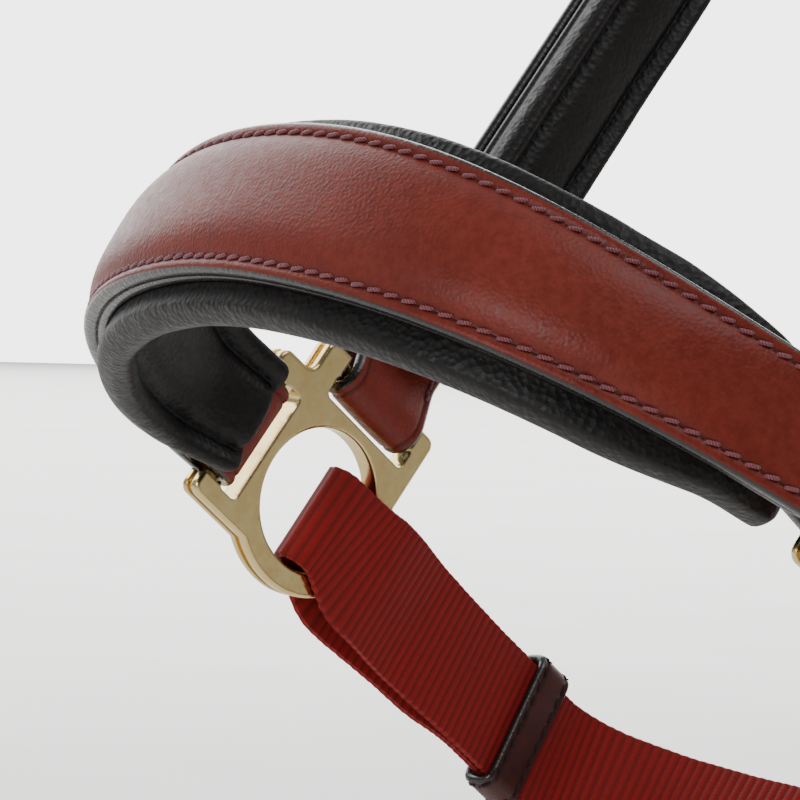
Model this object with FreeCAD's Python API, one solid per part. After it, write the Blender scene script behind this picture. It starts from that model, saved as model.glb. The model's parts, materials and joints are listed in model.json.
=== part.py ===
"""Leather headcollar (halter) for a full-size horse.

The model is built in the horse's head frame, in millimetres: X to the horse's left, Y to the
back of the face, Z up the face towards the poll.  The origin of that frame is midway between
the two cheek fittings.  At the end every piece is leaned back by head_tilt, as the headcollar
sits on a standing horse, and moved so that the row's origin is the poll seat, the underside of
the crown where the horse's poll carries it.

Most hardware and straps at the side of the head lie flat in one side plane.  They are drawn
once, for the horse's right side, in side coordinates (u towards the nose, v up the cheek,
w away from the horse), and mirrored for the left side.
"""
import FreeCAD, Part
import math
import os

# ------------------------------------------------------------------ driving dimensions, mm
# whole headcollar
half_span = 83.8            # centre of the head to the middle plane of a cheek fitting
side_yaw = 6.1              # degrees, the cheek fittings open towards the back of the head
side_pitch = 4.7            # degrees, the cheekpieces lean back from the face line
head_tilt = 32.0            # degrees, the face line leans back from the vertical
throat_height = 205.0       # cheek fitting centre to throat fitting centre, along v
buckle_above_throat = 67.0  # throat fitting centre to the crown buckle's heel bar, along v
crown_above_buckle = 37.0   # heel bar to the start of the padded crown, along v
crown_side = 33.0           # straight side of the padded crown, below its arch
crown_rise = 66.0           # height of the crown's arch above that

# straps
strap_width = 20.5
leather = 2.6               # one layer of outer leather
backing = 1.2               # thin leather behind the noseband
lining_depth = 6.5          # padded lining, thickest
lining_overhang = 4.6       # padded lining beyond the noseband leather, each side
layer_gap = 0.15            # between glued or sewn layers

# noseband
nose_depth = 65.6           # pole of the noseband's curve, ahead of the fittings' bars
nose_corner_depth = 70.1    # pole that rounds the noseband's corners
nose_corner_in = 17.7       # how far that pole sits inside the fittings
nose_flat = 13.2            # half length of the flat front
nose_lift = 6.2             # height of the noseband's front above the cheek fittings' centres
nose_width = 27.0
nose_taper_start = 6.6
nose_taper_length = 95.0
stitch_margin = 2.25        # stitch row to leather edge
raise_height = 2.2          # padded raised centre of the noseband above its flat edges

# cast fittings
ring_clearance = 0.7        # webbing's edge to the wall of the ring's hole
ring_wall = 4.6             # ring, across its metal
ring_to_slot = 2.2          # metal between the ring's hole and a slot
slot_clearance = 1.25       # strap's edge to the end of its slot
slot_opening = 4.7          # slot, along the strap
fitting_thick = 4.6
bar_size = 3.6              # strap bar, along the strap
loop_side = 3.7             # width of the loop's side
notch_side = 5.1            # width of the loop's side next to the other loop
lug_reach = 0.6             # corner lugs stand this far beyond the strap bar
rim_groove = 0.9            # depth of the groove round the rim
rim_groove_width = 1.3
lead_hole_r = 16.0
lead_outer_r = 20.6

# crown buckles
buckle_length = 21.0        # heel bar to far bar
buckle_wire_r = 2.0
buckle_lift = 6.7           # the far bar stands this far out from the heel bar
tongue_r = 1.5
billet_thick = 3.0
billet_tail = 34.0          # billet end below the heel bar
billet_into_crown = 26.0
crown_width = 30.0
keeper_wall = 1.7
keeper_length = 9.0
keeper_gap = 0.35

# chin webbing
web_width = 25.0
web_thick = 1.5
web_drop = 3.5              # webbing centre below the fitting centre
web_fold_u = 4.5            # fold line behind the ring centre
web_straight = 80.0         # the webbing runs straight back this far
web_chin_depth = 119.0      # forward coordinate of the chin, behind the fittings
web_corner = 28.0           # pole that rounds the webbing into the chin
web_chin_flat = 46.0
web_keeper_at = 70.0        # keeper centre behind the fitting centre
web_keeper_length = 8.2
web_ply_gap = 0.3           # half the gap between the two plies, away from the ring
web_twist = 9.0             # degrees, the lower edge turns in under the jaw
sleeve_length = 34.0

# throatlash
lash_width = 17.0
lash_thick = 3.0
lash_drop = 32.0            # degrees, its direction below the u axis, pointing back
lash_leg = 68.0             # throat fitting centre to the start of the curve under the throat
jowl_width = 18.0

# throatlash snap, distances along its own axis from the throat fitting's centre
snap_hook_r = 4.3           # inner radius of the hook
snap_wire_r = 2.1
snap_barrel_start = 22.2
snap_barrel_length = 17.0
snap_barrel_r = 5.0
snap_bolt_r = 1.9
snap_bolt_gap = 0.05
snap_bolt_travel = 5.8
snap_neck_r = 2.0
snap_eye_half = 10.2        # half width of the eye's opening

Vector = FreeCAD.Vector
origin = Vector(0, 0, 0)
axis_x = Vector(1, 0, 0)
axis_y = Vector(0, 1, 0)
axis_z = Vector(0, 0, 1)

buckle_heel = throat_height + buckle_above_throat
crown_start = buckle_heel + crown_above_buckle
crown_spring = crown_start + crown_side
ring_hole_r = web_width / 2 + ring_clearance
ring_outer_r = ring_hole_r + ring_wall
slot_half = strap_width / 2 + slot_clearance
slot_near = ring_hole_r + ring_to_slot
slot_far = slot_near + slot_opening
bar_centre = slot_far + bar_size / 2
bar_r = bar_size / 2
fold_inner = bar_r + layer_gap
fold_outer = fold_inner + leather
strap_half = strap_width / 2


# ------------------------------------------------------------------ frames
def side_axes():
    yaw = math.radians(side_yaw)
    pitch = math.radians(side_pitch)
    forward = Vector(math.sin(yaw) * math.cos(pitch), -math.cos(yaw) * math.cos(pitch), math.sin(pitch))
    up = Vector(-math.sin(yaw) * math.sin(pitch), math.cos(yaw) * math.sin(pitch), math.cos(pitch))
    return forward, up, forward.cross(up)


def frame_placement(at, first, second):
    """Placement that takes x to first, y to second and z to their cross product."""
    third = first.cross(second)
    return FreeCAD.Placement(FreeCAD.Matrix(
        first.x, second.x, third.x, at.x,
        first.y, second.y, third.y, at.y,
        first.z, second.z, third.z, at.z,
        0, 0, 0, 1))


side_u, side_v, side_w = side_axes()
side_origin = Vector(-half_span, 0, 0)
side_frame = frame_placement(side_origin, side_u, side_v)


def side_point(u, v, w=0.0):
    return side_frame.multVec(Vector(u, v, w))


def placed(shape, placement):
    moved = shape.copy()
    moved.Placement = placement.multiply(shape.Placement)
    return moved


def on_side(shape):
    return placed(shape, side_frame)


def mirrored(shape):
    return shape.mirror(origin, axis_x)


def mirror_point(point):
    return Vector(-point.x, point.y, point.z)


def crown_reference(height):
    """Centre of the crown strap's legs and arch, from the right (-1) through the top to the left."""
    return half_span - side_v.x * height


crown_half = crown_reference(crown_spring)
crown_up = Vector(0, side_v.y, side_v.z)
billet_high_w = buckle_lift - buckle_wire_r - billet_thick - 0.25
crown_lining_top = billet_high_w - layer_gap
poll_point = crown_up * (crown_spring + crown_rise + crown_lining_top - 0.97 * lining_depth)
lean = FreeCAD.Rotation(axis_x, -head_tilt)
world = FreeCAD.Placement(lean.multVec(poll_point) * -1, lean)

os.makedirs("parts", exist_ok=True)


def export(name, shape):
    placed(shape, world).exportStep("parts/" + name + ".step")


def export_pair(name, shape):
    export(name + "_right", shape)
    export(name + "_left", mirrored(shape))


# ------------------------------------------------------------------ small solids
def block(u0, u1, v0, v1, w0, w1):
    return Part.makeBox(u1 - u0, v1 - v0, w1 - w0, Vector(u0, v0, w0))


def joined(shapes):
    whole = shapes[0]
    for shape in shapes[1:]:
        whole = whole.fuse(shape)
    return whole.removeSplitter()


def half_tube(inner, outer, length, at, axis, towards):
    """Half of a tube: the half that lies on the side that towards points to."""
    tube = Part.makeCylinder(outer, length, at, axis).cut(Part.makeCylinder(inner, length, at, axis))
    across = towards.cross(axis)
    keep = Part.makeBox(2 * outer, outer, length)
    return tube.common(placed(keep, frame_placement(at - across * outer, across, towards)))


def rounded_box(half_a, half_b, length, radius, at):
    """A bar of rounded rectangular section along Z, centred on at."""
    box = Part.makeBox(2 * half_a, 2 * half_b, length, at - Vector(half_a, half_b, 0))
    upright = [e for e in box.Edges if abs(e.tangentAt(e.FirstParameter).z) > 0.9]
    return box.makeFillet(radius, upright)


# ------------------------------------------------------------------ lofted straps
class Station:
    """One cross-section of a strap: where it is, and its across and outward directions."""

    def __init__(self, point, tangent, across, half, distance):
        self.point = point
        out = tangent.cross(across)
        out.normalize()
        self.out = out
        self.across = out.cross(tangent).normalize()
        self.half = half
        self.distance = distance

    def place(self, a, b):
        return self.point + self.across * a + self.out * b


def loft(stations, section):
    wires = []
    for station in stations:
        points = [station.place(a, b) for a, b in section(station)]
        wires.append(Part.makePolygon(points + [points[0]]))
    return Part.makeLoft(wires, True, False)


def flat_section(extra, inner, outer):
    def section(station):
        half = station.half + extra
        return [(-half, inner), (half, inner), (half, outer), (-half, outer)]
    return section


def smooth(x):
    x = min(1.0, max(0.0, x))
    return x * x * (3 - 2 * x)


def bezier(poles, t):
    points = list(poles)
    while len(points) > 1:
        points = [p * (1 - t) + q * t for p, q in zip(points, points[1:])]
    return points[0]


def even_steps(start, end, count):
    return [start + (end - start) * k / (count - 1) for k in range(count)]


class Path:
    """A curve measured along its length, in mm from its right end."""

    def __init__(self, curve, fine=400):
        self.curve = curve
        samples = [curve(i / fine) for i in range(fine + 1)]
        self.lengths = [0.0]
        for p, q in zip(samples, samples[1:]):
            self.lengths.append(self.lengths[-1] + (q - p).Length)
        self.total = self.lengths[-1]

    def parameter(self, distance):
        fine = len(self.lengths) - 1
        i = 0
        while i < fine - 1 and self.lengths[i + 1] < distance:
            i += 1
        span = self.lengths[i + 1] - self.lengths[i]
        return (i + (distance - self.lengths[i]) / span) / fine

    def end_distances(self, near_ends, middle_count):
        """Distances close together near both ends and even between them."""
        far_ends = [self.total - d for d in reversed(near_ends)]
        middle = even_steps(near_ends[-1], far_ends[0], middle_count)
        return near_ends[:-1] + middle + far_ends[1:]


def tangent_of(curve, t):
    step = 1e-4
    return (curve(min(1.0, t + step)) - curve(max(0.0, t - step))).normalize()


# ------------------------------------------------------------------ cast fittings
def fitting_solid(hole_r, outer_r, loops, joined_corner):
    """A cast ring with strap loops.  loops holds directions, in degrees from the u axis."""
    reach = bar_centre + bar_r + lug_reach + hole_r - ring_hole_r
    near = slot_near + hole_r - ring_hole_r
    far = slot_far + hole_r - ring_hole_r
    side = slot_half + loop_side
    inside = slot_half + notch_side
    outline = Part.makeCylinder(outer_r, fitting_thick, Vector(0, 0, -fitting_thick / 2))
    slots = []
    for angle in loops:
        low, high = side, side
        if joined_corner and angle == 0:
            high = inside
        if joined_corner and angle == 90:
            low = inside
        loop = block(0, reach, -low, high, -fitting_thick / 2, fitting_thick / 2)
        slot = block(near, far, -slot_half, slot_half, -fitting_thick, fitting_thick)
        ends = [e for e in slot.Edges if abs(e.tangentAt(e.FirstParameter).z) > 0.9]
        slot = slot.makeFillet(1.2, ends)
        recess_low = block(far + bar_size, reach + 1, -slot_half + 0.8, slot_half - 0.8,
                           -fitting_thick, fitting_thick)
        bar_zone = block(far - 0.01, reach + 1, -slot_half + 0.4, slot_half - 0.4,
                         -fitting_thick, fitting_thick)
        bar = Part.makeCylinder(bar_r, 2 * slot_half + 2, Vector(far + bar_r, -slot_half - 1, 0), axis_y)
        spin = FreeCAD.Placement(origin, FreeCAD.Rotation(axis_z, angle))
        outline = outline.fuse(placed(loop, spin))
        slots.append((placed(slot, spin), placed(bar_zone.fuse(recess_low), spin), placed(bar, spin)))
    outline = outline.removeSplitter()
    corners = []
    for edge in outline.Edges:
        line = edge.tangentAt(edge.FirstParameter)
        at = edge.CenterOfMass
        if abs(line.z) > 0.9 and math.hypot(at.x, at.y) > reach * 0.8:
            corners.append(edge)
    outline = outline.makeFillet(2.0, corners)
    rims = [e for e in outline.Edges if abs(abs(e.CenterOfMass.z) - fitting_thick / 2) < 1e-6]
    outline = outline.makeFillet(0.7, rims)
    waist = outline.common(block(-80, 80, -80, 80, -rim_groove_width / 2, rim_groove_width / 2))
    profile = outline.slice(axis_z, 0.0)[0]
    inner_face = Part.Face(profile.makeOffset2D(-rim_groove))
    inner = inner_face.extrude(Vector(0, 0, rim_groove_width))
    inner.translate(Vector(0, 0, -rim_groove_width / 2))
    groove = waist.cut(inner)
    body = outline.cut(groove)
    hole = Part.makeCylinder(hole_r, 2 * fitting_thick, Vector(0, 0, -fitting_thick))
    body = body.cut(hole)
    for slot, bar_zone, bar in slots:
        body = body.cut(slot).cut(bar_zone).fuse(bar)
    lips = []
    for edge in body.Edges:
        curve = edge.Curve
        if isinstance(curve, Part.Circle) and abs(curve.Radius - hole_r) < 1e-6:
            lips.append(edge)
    return body.makeFillet(0.6, lips)


# ------------------------------------------------------------------ leather folded round bars
def turned_leg(length, half, sink=0.0):
    """The turned-back leg of a strap, from a bar at the origin, lying along +u.

    It leaves the fold low, rises to lie sink below the strap, and ends at length.
    """
    rise_end = 9.5
    middle_r = fold_inner + leather / 2
    target = Vector(rise_end, fold_inner - leather / 2 - sink, 0)
    turn = math.atan2(target.y, target.x) - math.acos(middle_r / target.Length)
    normal = Vector(math.cos(turn), math.sin(turn), 0)
    leave = normal * middle_r
    offset = normal * (leather / 2)
    flat = Vector(0, leather / 2, 0)
    points = [leave - offset, target + flat, Vector(length, target.y + leather / 2, 0),
              Vector(length, target.y - leather / 2, 0), target - flat, leave + offset]
    face = Part.Face(Part.makePolygon(points + [points[0]]))
    leg = face.extrude(Vector(0, 0, 2 * half))
    leg.translate(Vector(0, 0, -half))
    sweep = 90 + math.degrees(-turn) + 90
    outer = Part.makeCylinder(fold_outer, 2 * half, Vector(0, 0, -half), axis_z, sweep)
    inner = Part.makeCylinder(fold_inner, 4 * half, Vector(0, 0, -2 * half), axis_z)
    arc = outer.cut(inner)
    arc.rotate(origin, axis_z, 90)
    return leg, arc


def fold_frame(at, along_direction, out_direction):
    """Maps the fold's drawing plane (x along the strap, y outwards) to the headcollar."""
    return frame_placement(at, along_direction, out_direction)


def strap_with_folds(length, turned_start, turned_end, half):
    """A strap along +x between two bars, with each end folded round its bar and turned back."""
    skin = Part.makeBox(length, leather, 2 * half, Vector(0, fold_inner, -half))
    leg, arc = turned_leg(turned_start, half)
    pieces = [skin, leg, arc]
    if turned_end:
        other_leg, other_arc = turned_leg(turned_end, half)
        flip = frame_placement(Vector(length, 0, 0), axis_x * -1, axis_y)
        pieces += [placed(other_leg, flip), placed(other_arc, flip)]
    return joined(pieces)


# ------------------------------------------------------------------ cheek fittings
cheek_fitting = fitting_solid(ring_hole_r, ring_outer_r, [0, 90], True)
export_pair("cheek_fitting", on_side(cheek_fitting))

throat_fitting = fitting_solid(ring_hole_r, ring_outer_r, [90, 270], False)
throat_fitting.translate(Vector(0, throat_height, 0))
export_pair("throat_fitting", on_side(throat_fitting))

# ------------------------------------------------------------------ noseband
nose_run = Vector(nose_corner_in, -nose_corner_depth, 0).normalize()
nose_out = nose_run.cross(axis_z)
nose_bar = side_point(bar_centre, 0) + nose_out * (fold_inner + leather / 2)
nose_poles = [
    nose_bar,
    Vector(nose_bar.x + nose_corner_in, nose_bar.y - nose_corner_depth, nose_bar.z),
    Vector(-nose_flat, nose_bar.y - nose_depth, nose_bar.z)]
nose_poles += [mirror_point(pole) for pole in reversed(nose_poles)]


def nose_curve(t):
    arch = 1 - (2 * t - 1) ** 2
    point = bezier(nose_poles, t)
    return Vector(point.x, point.y, nose_bar.z * (1 - arch) ** 2 + nose_lift * arch ** 2)


nose_path = Path(nose_curve)


def nose_stations(near_ends, middle_count):
    stations = []
    for distance in nose_path.end_distances(near_ends, middle_count):
        t = nose_path.parameter(distance)
        end_distance = min(distance, nose_path.total - distance)
        ramp = smooth((end_distance - nose_taper_start) / nose_taper_length)
        half = strap_half + (nose_width / 2 - strap_half) * ramp
        stations.append(Station(nose_curve(t), tangent_of(nose_curve, t), axis_z, half, end_distance))
    return stations


def raised(station):
    """Height of the padded centre, which fades out towards the fittings."""
    return 0.3 + (raise_height - 0.3) * smooth((station.distance - 10) / 30)


dome_steps = [1.0, 0.93, 0.75, 0.45, 0.15]


def dome(half, base, height):
    """Points of a flat-topped dome from -half to half."""
    left = [(-half * s, base + height * (1 - s ** 4)) for s in dome_steps]
    return left + [(-a, b) for a, b in reversed(left)]


def nose_leather_section(station):
    half = station.half
    core = half - stitch_margin - 0.8
    under = [(a, b) for a, b in reversed(dome(core - 0.4, -leather / 2, raised(station) - 0.05))]
    over = dome(core + 0.6, leather / 2, raised(station))
    edge = [(half, -leather / 2), (half, leather / 2)]
    return [(-half, -leather / 2), (-half, leather / 2)] + over + list(reversed(edge)) + under


def nose_core_section(station):
    core = station.half - stitch_margin - 1.4
    top = dome(core, -leather / 2 - layer_gap, raised(station) - 0.25)
    return top + [(core, -leather / 2 - layer_gap * 1.5), (-core, -leather / 2 - layer_gap * 1.5)]


backing_outer = -leather / 2 - 2 * layer_gap
backing_inner = backing_outer - backing
lining_outer = backing_inner - layer_gap


def lining_start_offset(distance):
    """The lining stands further in where it lies on the turned-back end of the strap."""
    return 5.5 * (1 - smooth((distance - 2) / 15))


bulge_steps = [(-1.0, 0.42), (-0.97, 0.75), (-0.86, 1.0), (-0.72, 0.93), (-0.62, 0.70), (-0.45, 0.86),
               (0.0, 0.97), (0.45, 0.86), (0.62, 0.70), (0.72, 0.93), (0.86, 1.0), (0.97, 0.75), (1.0, 0.42)]


def bulged_lining(half, top, depth):
    """Padded lining: a roll along each edge and a softer bulge between them."""
    under = [(half * a, top - depth * b) for a, b in bulge_steps]
    return under + [(half * 0.97, top - depth * 0.12), (half * 0.9, top), (-half * 0.9, top),
                    (-half * 0.97, top - depth * 0.12)]


def nose_lining_section(station):
    half = station.half + lining_overhang * smooth((station.distance + 12) / 45)
    return bulged_lining(half, lining_outer - lining_start_offset(station.distance), lining_depth)


nose_count = 13
export("noseband_outer_leather", loft(nose_stations([4.4, 12.0, 20.0], nose_count), nose_leather_section))
export("noseband_raised_core", loft(nose_stations([16.0, 24.0], nose_count), nose_core_section))
export("noseband_backing", loft(nose_stations([14.0, 22.0], nose_count),
                                flat_section(-0.1, backing_inner, backing_outer)))
export("noseband_padded_lining", loft(nose_stations([2.5, 5.0, 8.0, 11.0, 14.0, 17.0, 23.0], nose_count),
                                      nose_lining_section))

nose_fold_leg, nose_fold_arc = turned_leg(11.0, strap_half, 0.5)
nose_fold_skin = Part.makeBox(2.6, leather, strap_width, Vector(0, fold_inner, -strap_half))
nose_fold = joined([nose_fold_skin, nose_fold_leg, nose_fold_arc])
fold_run = (nose_run - side_v * nose_run.dot(side_v)).normalize()
export_pair("noseband_end_fold", placed(
    nose_fold, frame_placement(side_point(bar_centre, 0), fold_run, fold_run.cross(side_v))))

# ------------------------------------------------------------------ cheekpieces
cheek_low = bar_centre
cheek_high = throat_height - bar_centre
cheek_turn = 26.0
cheek_strap = strap_with_folds(cheek_high - cheek_low, cheek_turn, cheek_turn, strap_half)
export_pair("cheekpiece_outer_leather", on_side(placed(
    cheek_strap, fold_frame(Vector(0, cheek_low, 0), axis_y, axis_z))))

cheek_lining_top = fold_inner - leather - layer_gap
cheek_lining_inset = 11.0


def straight_lining(half, start, end, top):
    points = [Vector(a, start, b) for a, b in bulged_lining(half, top, lining_depth)]
    face = Part.Face(Part.makePolygon(points + [points[0]]))
    return face.extrude(Vector(0, end - start, 0))


export_pair("cheekpiece_padded_lining", on_side(straight_lining(
    strap_half + 0.4, cheek_low + cheek_lining_inset, cheek_high - cheek_lining_inset, cheek_lining_top)))
export_pair("cheekpiece_filler", on_side(block(
    -strap_half + 0.3, strap_half - 0.3, cheek_low + cheek_turn + 1, cheek_high - cheek_turn - 1,
    cheek_lining_top + layer_gap, fold_inner - layer_gap)))

# ------------------------------------------------------------------ crown buckles
heel = Vector(0, buckle_heel, 0)
far_bar = Vector(0, buckle_heel + buckle_length, buckle_lift)
buckle_half = strap_half + 0.9 + buckle_wire_r


def wire_frame(corners, wire_r, bend):
    """A closed bent-wire frame through rounded corners."""
    count = len(corners)
    path = []
    ends = []
    for i in range(count):
        before, at, after = corners[i - 1], corners[i], corners[(i + 1) % count]
        arrive = at + (before - at).normalize() * bend
        leave = at + (after - at).normalize() * bend
        chord = (arrive + leave) * 0.5
        half_angle = (before - at).getAngle(after - at) / 2
        middle_distance = bend / math.cos(half_angle) - bend * math.tan(half_angle)
        middle = at + (chord - at).normalize() * middle_distance
        path.append(Part.Arc(arrive, middle, leave).toShape())
        ends.append((arrive, leave))
    edges = []
    for i in range(count):
        edges.append(path[i])
        edges.append(Part.makeLine(ends[i][1], ends[(i + 1) % count][0]))
    spine = Part.Wire(edges)
    start = edges[-1]
    direction = start.tangentAt(start.FirstParameter)
    circle = Part.Wire(Part.makeCircle(wire_r, start.valueAt(start.FirstParameter), direction))
    return spine.makePipeShell([circle], True, True)


buckle_frame = wire_frame([
    Vector(-buckle_half, heel.y, heel.z), Vector(buckle_half, heel.y, heel.z),
    Vector(buckle_half, far_bar.y, far_bar.z), Vector(-buckle_half, far_bar.y, far_bar.z)],
    buckle_wire_r, 2.8)
export_pair("crown_buckle_frame", on_side(buckle_frame))

tongue_eye_r = buckle_wire_r + 0.06
tongue_eye_outer = tongue_eye_r + 1.3
tongue_half = 1.9
tongue_offset = 1.1
rest_line = (far_bar - heel)
rest_slope = math.atan2(rest_line.z, rest_line.y)
rest_rise = math.asin((buckle_wire_r + tongue_r + 0.02 - tongue_offset) / rest_line.Length)
tongue_angle = rest_slope + rest_rise
tongue_direction = Vector(0, math.cos(tongue_angle), math.sin(tongue_angle))
tongue_up = Vector(0, -math.sin(tongue_angle), math.cos(tongue_angle))
tongue_length = rest_line.Length + 3.0
tongue_rod = Part.makeCylinder(tongue_r, tongue_length - 2.6, heel + tongue_direction * 2.6
                               + tongue_up * tongue_offset, tongue_direction)
tongue_end = Part.makeSphere(tongue_r, heel + tongue_direction * tongue_length + tongue_up * tongue_offset)
eye_at = heel - axis_x * tongue_half
tongue_eye = Part.makeCylinder(tongue_eye_outer, 2 * tongue_half, eye_at, axis_x)
tongue = joined([tongue_rod, tongue_end, tongue_eye])
tongue = tongue.cut(Part.makeCylinder(tongue_eye_r, 4 * tongue_half, heel - axis_x * 2 * tongue_half, axis_x))
export_pair("crown_buckle_tongue", on_side(tongue))

# the chape joins the throat fitting's upper bar to the buckle's heel bar
chape_low = throat_height + bar_centre
chape_inner = buckle_wire_r + layer_gap + 0.1
chape_outer = chape_inner + leather - 0.4


def loop_strap(low, high, inner, outer, half):
    """A strap folded round two bars along u, at heights low and high, with its ends sewn inside."""
    pieces = [
        block(-half, half, low, high, inner, outer),
        block(-half, half, low, high, -outer, -inner),
        half_tube(inner, outer, 2 * half, Vector(-half, low, 0), axis_x, axis_y * -1),
        half_tube(inner, outer, 2 * half, Vector(-half, high, 0), axis_x, axis_y)]
    return joined(pieces)


chape = loop_strap(chape_low, buckle_heel, chape_inner, chape_outer, strap_half)
tongue_slot = block(-tongue_half - 0.5, tongue_half + 0.5, buckle_heel - 5.5, buckle_heel + 8, -9, 9)
chape = chape.cut(tongue_slot)
export_pair("crown_buckle_chape", on_side(chape))

# billet: outside the chape below, behind the buckle's far bar above
billet_low_w = chape_outer + layer_gap
billet_bend_start = buckle_heel + 1.0
billet_bend_end = buckle_heel + buckle_length - 2.0
billet_top = crown_start + billet_into_crown


def s_edge(offset):
    """Edge of the billet's side view, shifted outwards by offset."""
    start = Vector(0, billet_bend_start, billet_low_w + offset)
    end = Vector(0, billet_bend_end, billet_high_w + offset)
    reach = (billet_bend_end - billet_bend_start) * 0.45
    curve = Part.BezierCurve()
    curve.setPoles([start, start + axis_y * reach, end - axis_y * reach, end])
    return curve.toShape(), start, end


lower_edge, lower_start, lower_end = s_edge(0)
upper_edge, upper_start, upper_end = s_edge(billet_thick)
tail = buckle_heel - billet_tail
billet_outline = Part.Wire(Part.__sortEdges__([
    Part.makeLine(Vector(0, tail, billet_low_w), lower_start), lower_edge,
    Part.makeLine(lower_end, Vector(0, billet_top, billet_high_w)),
    Part.makeLine(Vector(0, billet_top, billet_high_w), Vector(0, billet_top, billet_high_w + billet_thick)),
    Part.makeLine(Vector(0, billet_top, billet_high_w + billet_thick), upper_end), upper_edge,
    Part.makeLine(upper_start, Vector(0, tail, billet_low_w + billet_thick)),
    Part.makeLine(Vector(0, tail, billet_low_w + billet_thick), Vector(0, tail, billet_low_w))]))
billet = Part.Face(billet_outline).extrude(Vector(strap_width, 0, 0))
billet.translate(Vector(-strap_half, 0, 0))
tongue_hole_half = tongue_r + 0.5
tongue_hole = block(-tongue_hole_half, tongue_hole_half, buckle_heel - 0.3, buckle_heel + 16.5, 0, 14)
billet = billet.cut(tongue_hole)
hole_pitch = 16.0
for k in (1, 2):
    punch = Part.makeCylinder(1.9, 30, Vector(0, buckle_heel - hole_pitch * k + 4, -1), axis_z)
    billet = billet.cut(punch)
tip = Part.makeCylinder(strap_half, 60, Vector(0, tail + strap_half, -20), axis_z)
square_end = block(-strap_half - 1, strap_half + 1, tail - 1, tail + strap_half, -20, 40)
billet = billet.cut(square_end.cut(tip))
export_pair("crown_billet", on_side(billet))


def keeper_solid(length, half, inner_w, outer_w, wall):
    """A leather keeper: a flat tube along v, its corners rounded."""
    mid = (inner_w + outer_w) / 2
    tube = rounded_box(half + wall, (outer_w - inner_w) / 2 + wall, length, 1.6, origin)
    opening = rounded_box(half, (outer_w - inner_w) / 2, 3 * length, 0.6, Vector(0, 0, -length))
    tube = tube.cut(opening)
    tube.translate(Vector(0, 0, -length / 2))
    frame = frame_placement(Vector(0, 0, mid), axis_x * -1, axis_z)
    return placed(tube, frame)


keeper_half = strap_half + keeper_gap
crown_keeper = keeper_solid(keeper_length, keeper_half, -chape_outer - keeper_gap,
                            billet_low_w + billet_thick + keeper_gap, keeper_wall)
fixed_keeper = crown_keeper.copy()
fixed_keeper.translate(Vector(0, buckle_heel - 11.5, 0))
running_keeper = crown_keeper.copy()
running_keeper.translate(Vector(0, buckle_heel - 24.5, 0))
export_pair("crown_fixed_keeper", on_side(fixed_keeper))
export_pair("crown_running_keeper", on_side(running_keeper))


# ------------------------------------------------------------------ crown
def crown_curve(t):
    """From the right end of the padded crown over the poll to its left end."""
    leg = crown_spring - crown_start
    arc = math.pi * math.sqrt((crown_half ** 2 + crown_rise ** 2) / 2)
    whole = 2 * leg + arc
    s = t * whole
    if s < leg:
        height = crown_start + s
        return Vector(-crown_reference(height), 0, 0) + crown_up * height
    if s > leg + arc:
        height = crown_start + whole - s
        return Vector(crown_reference(height), 0, 0) + crown_up * height
    angle = math.pi * (s - leg) / arc
    height = crown_spring + crown_rise * math.sin(angle)
    return Vector(-crown_half * math.cos(angle), 0, 0) + crown_up * height


crown_path = Path(crown_curve)


def crown_stations(trim, middle_count):
    stations = []
    leg = crown_spring - crown_start
    near_ends = [trim]
    while near_ends[-1] < leg + 12:
        near_ends.append(near_ends[-1] + 8.0)
    for distance in crown_path.end_distances(near_ends, middle_count):
        t = crown_path.parameter(distance)
        point = crown_curve(t)
        end_distance = min(distance, crown_path.total - distance)
        ramp = smooth((end_distance - 8) / 90)
        half = strap_half + 0.8 + (crown_width / 2 - strap_half - 0.8) * ramp
        lean_in = -point.x / crown_half
        across = Vector(side_u.x * lean_in, side_u.y, side_u.z) * -1
        stations.append(Station(point, tangent_of(crown_curve, t), across, half, end_distance))
    return stations


crown_core_inner = billet_high_w
crown_core_outer = billet_high_w + billet_thick


def crown_lining_section(station):
    half = station.half + 2.0 * smooth((station.distance + 5) / 40)
    return bulged_lining(half, crown_lining_top, lining_depth)


crown_outer_inner_face = crown_core_outer + 2 * layer_gap
export("crown_outer_leather", loft(crown_stations(0.0, 15),
                                   flat_section(0, crown_outer_inner_face, crown_outer_inner_face + leather)))
export("crown_core_leather", loft(crown_stations(billet_into_crown + 2.0, 15),
                                  flat_section(-1.0, crown_core_inner, crown_core_outer)))
export("crown_padded_lining", loft(crown_stations(1.5, 15), crown_lining_section))

# ------------------------------------------------------------------ chin webbing
web_half = web_width / 2
fold_half = web_half - 2.5
fold_gap = fitting_thick / 2 + 0.3
chin_start = side_point(-web_straight, -web_drop)
chin_back = Vector(side_u.x, side_u.y, 0) * -web_corner
chin_poles = [chin_start, chin_start + chin_back, Vector(-web_chin_flat, web_chin_depth, -web_drop)]
chin_poles += [mirror_point(pole) for pole in reversed(chin_poles)]


def chin_curve(t):
    return bezier(chin_poles, t)


class PlyStation(Station):
    """A station that also knows how far apart the two plies are."""

    def __init__(self, point, tangent, across, half, spread):
        super().__init__(point, tangent, across, half, 0.0)
        self.spread = spread


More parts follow.
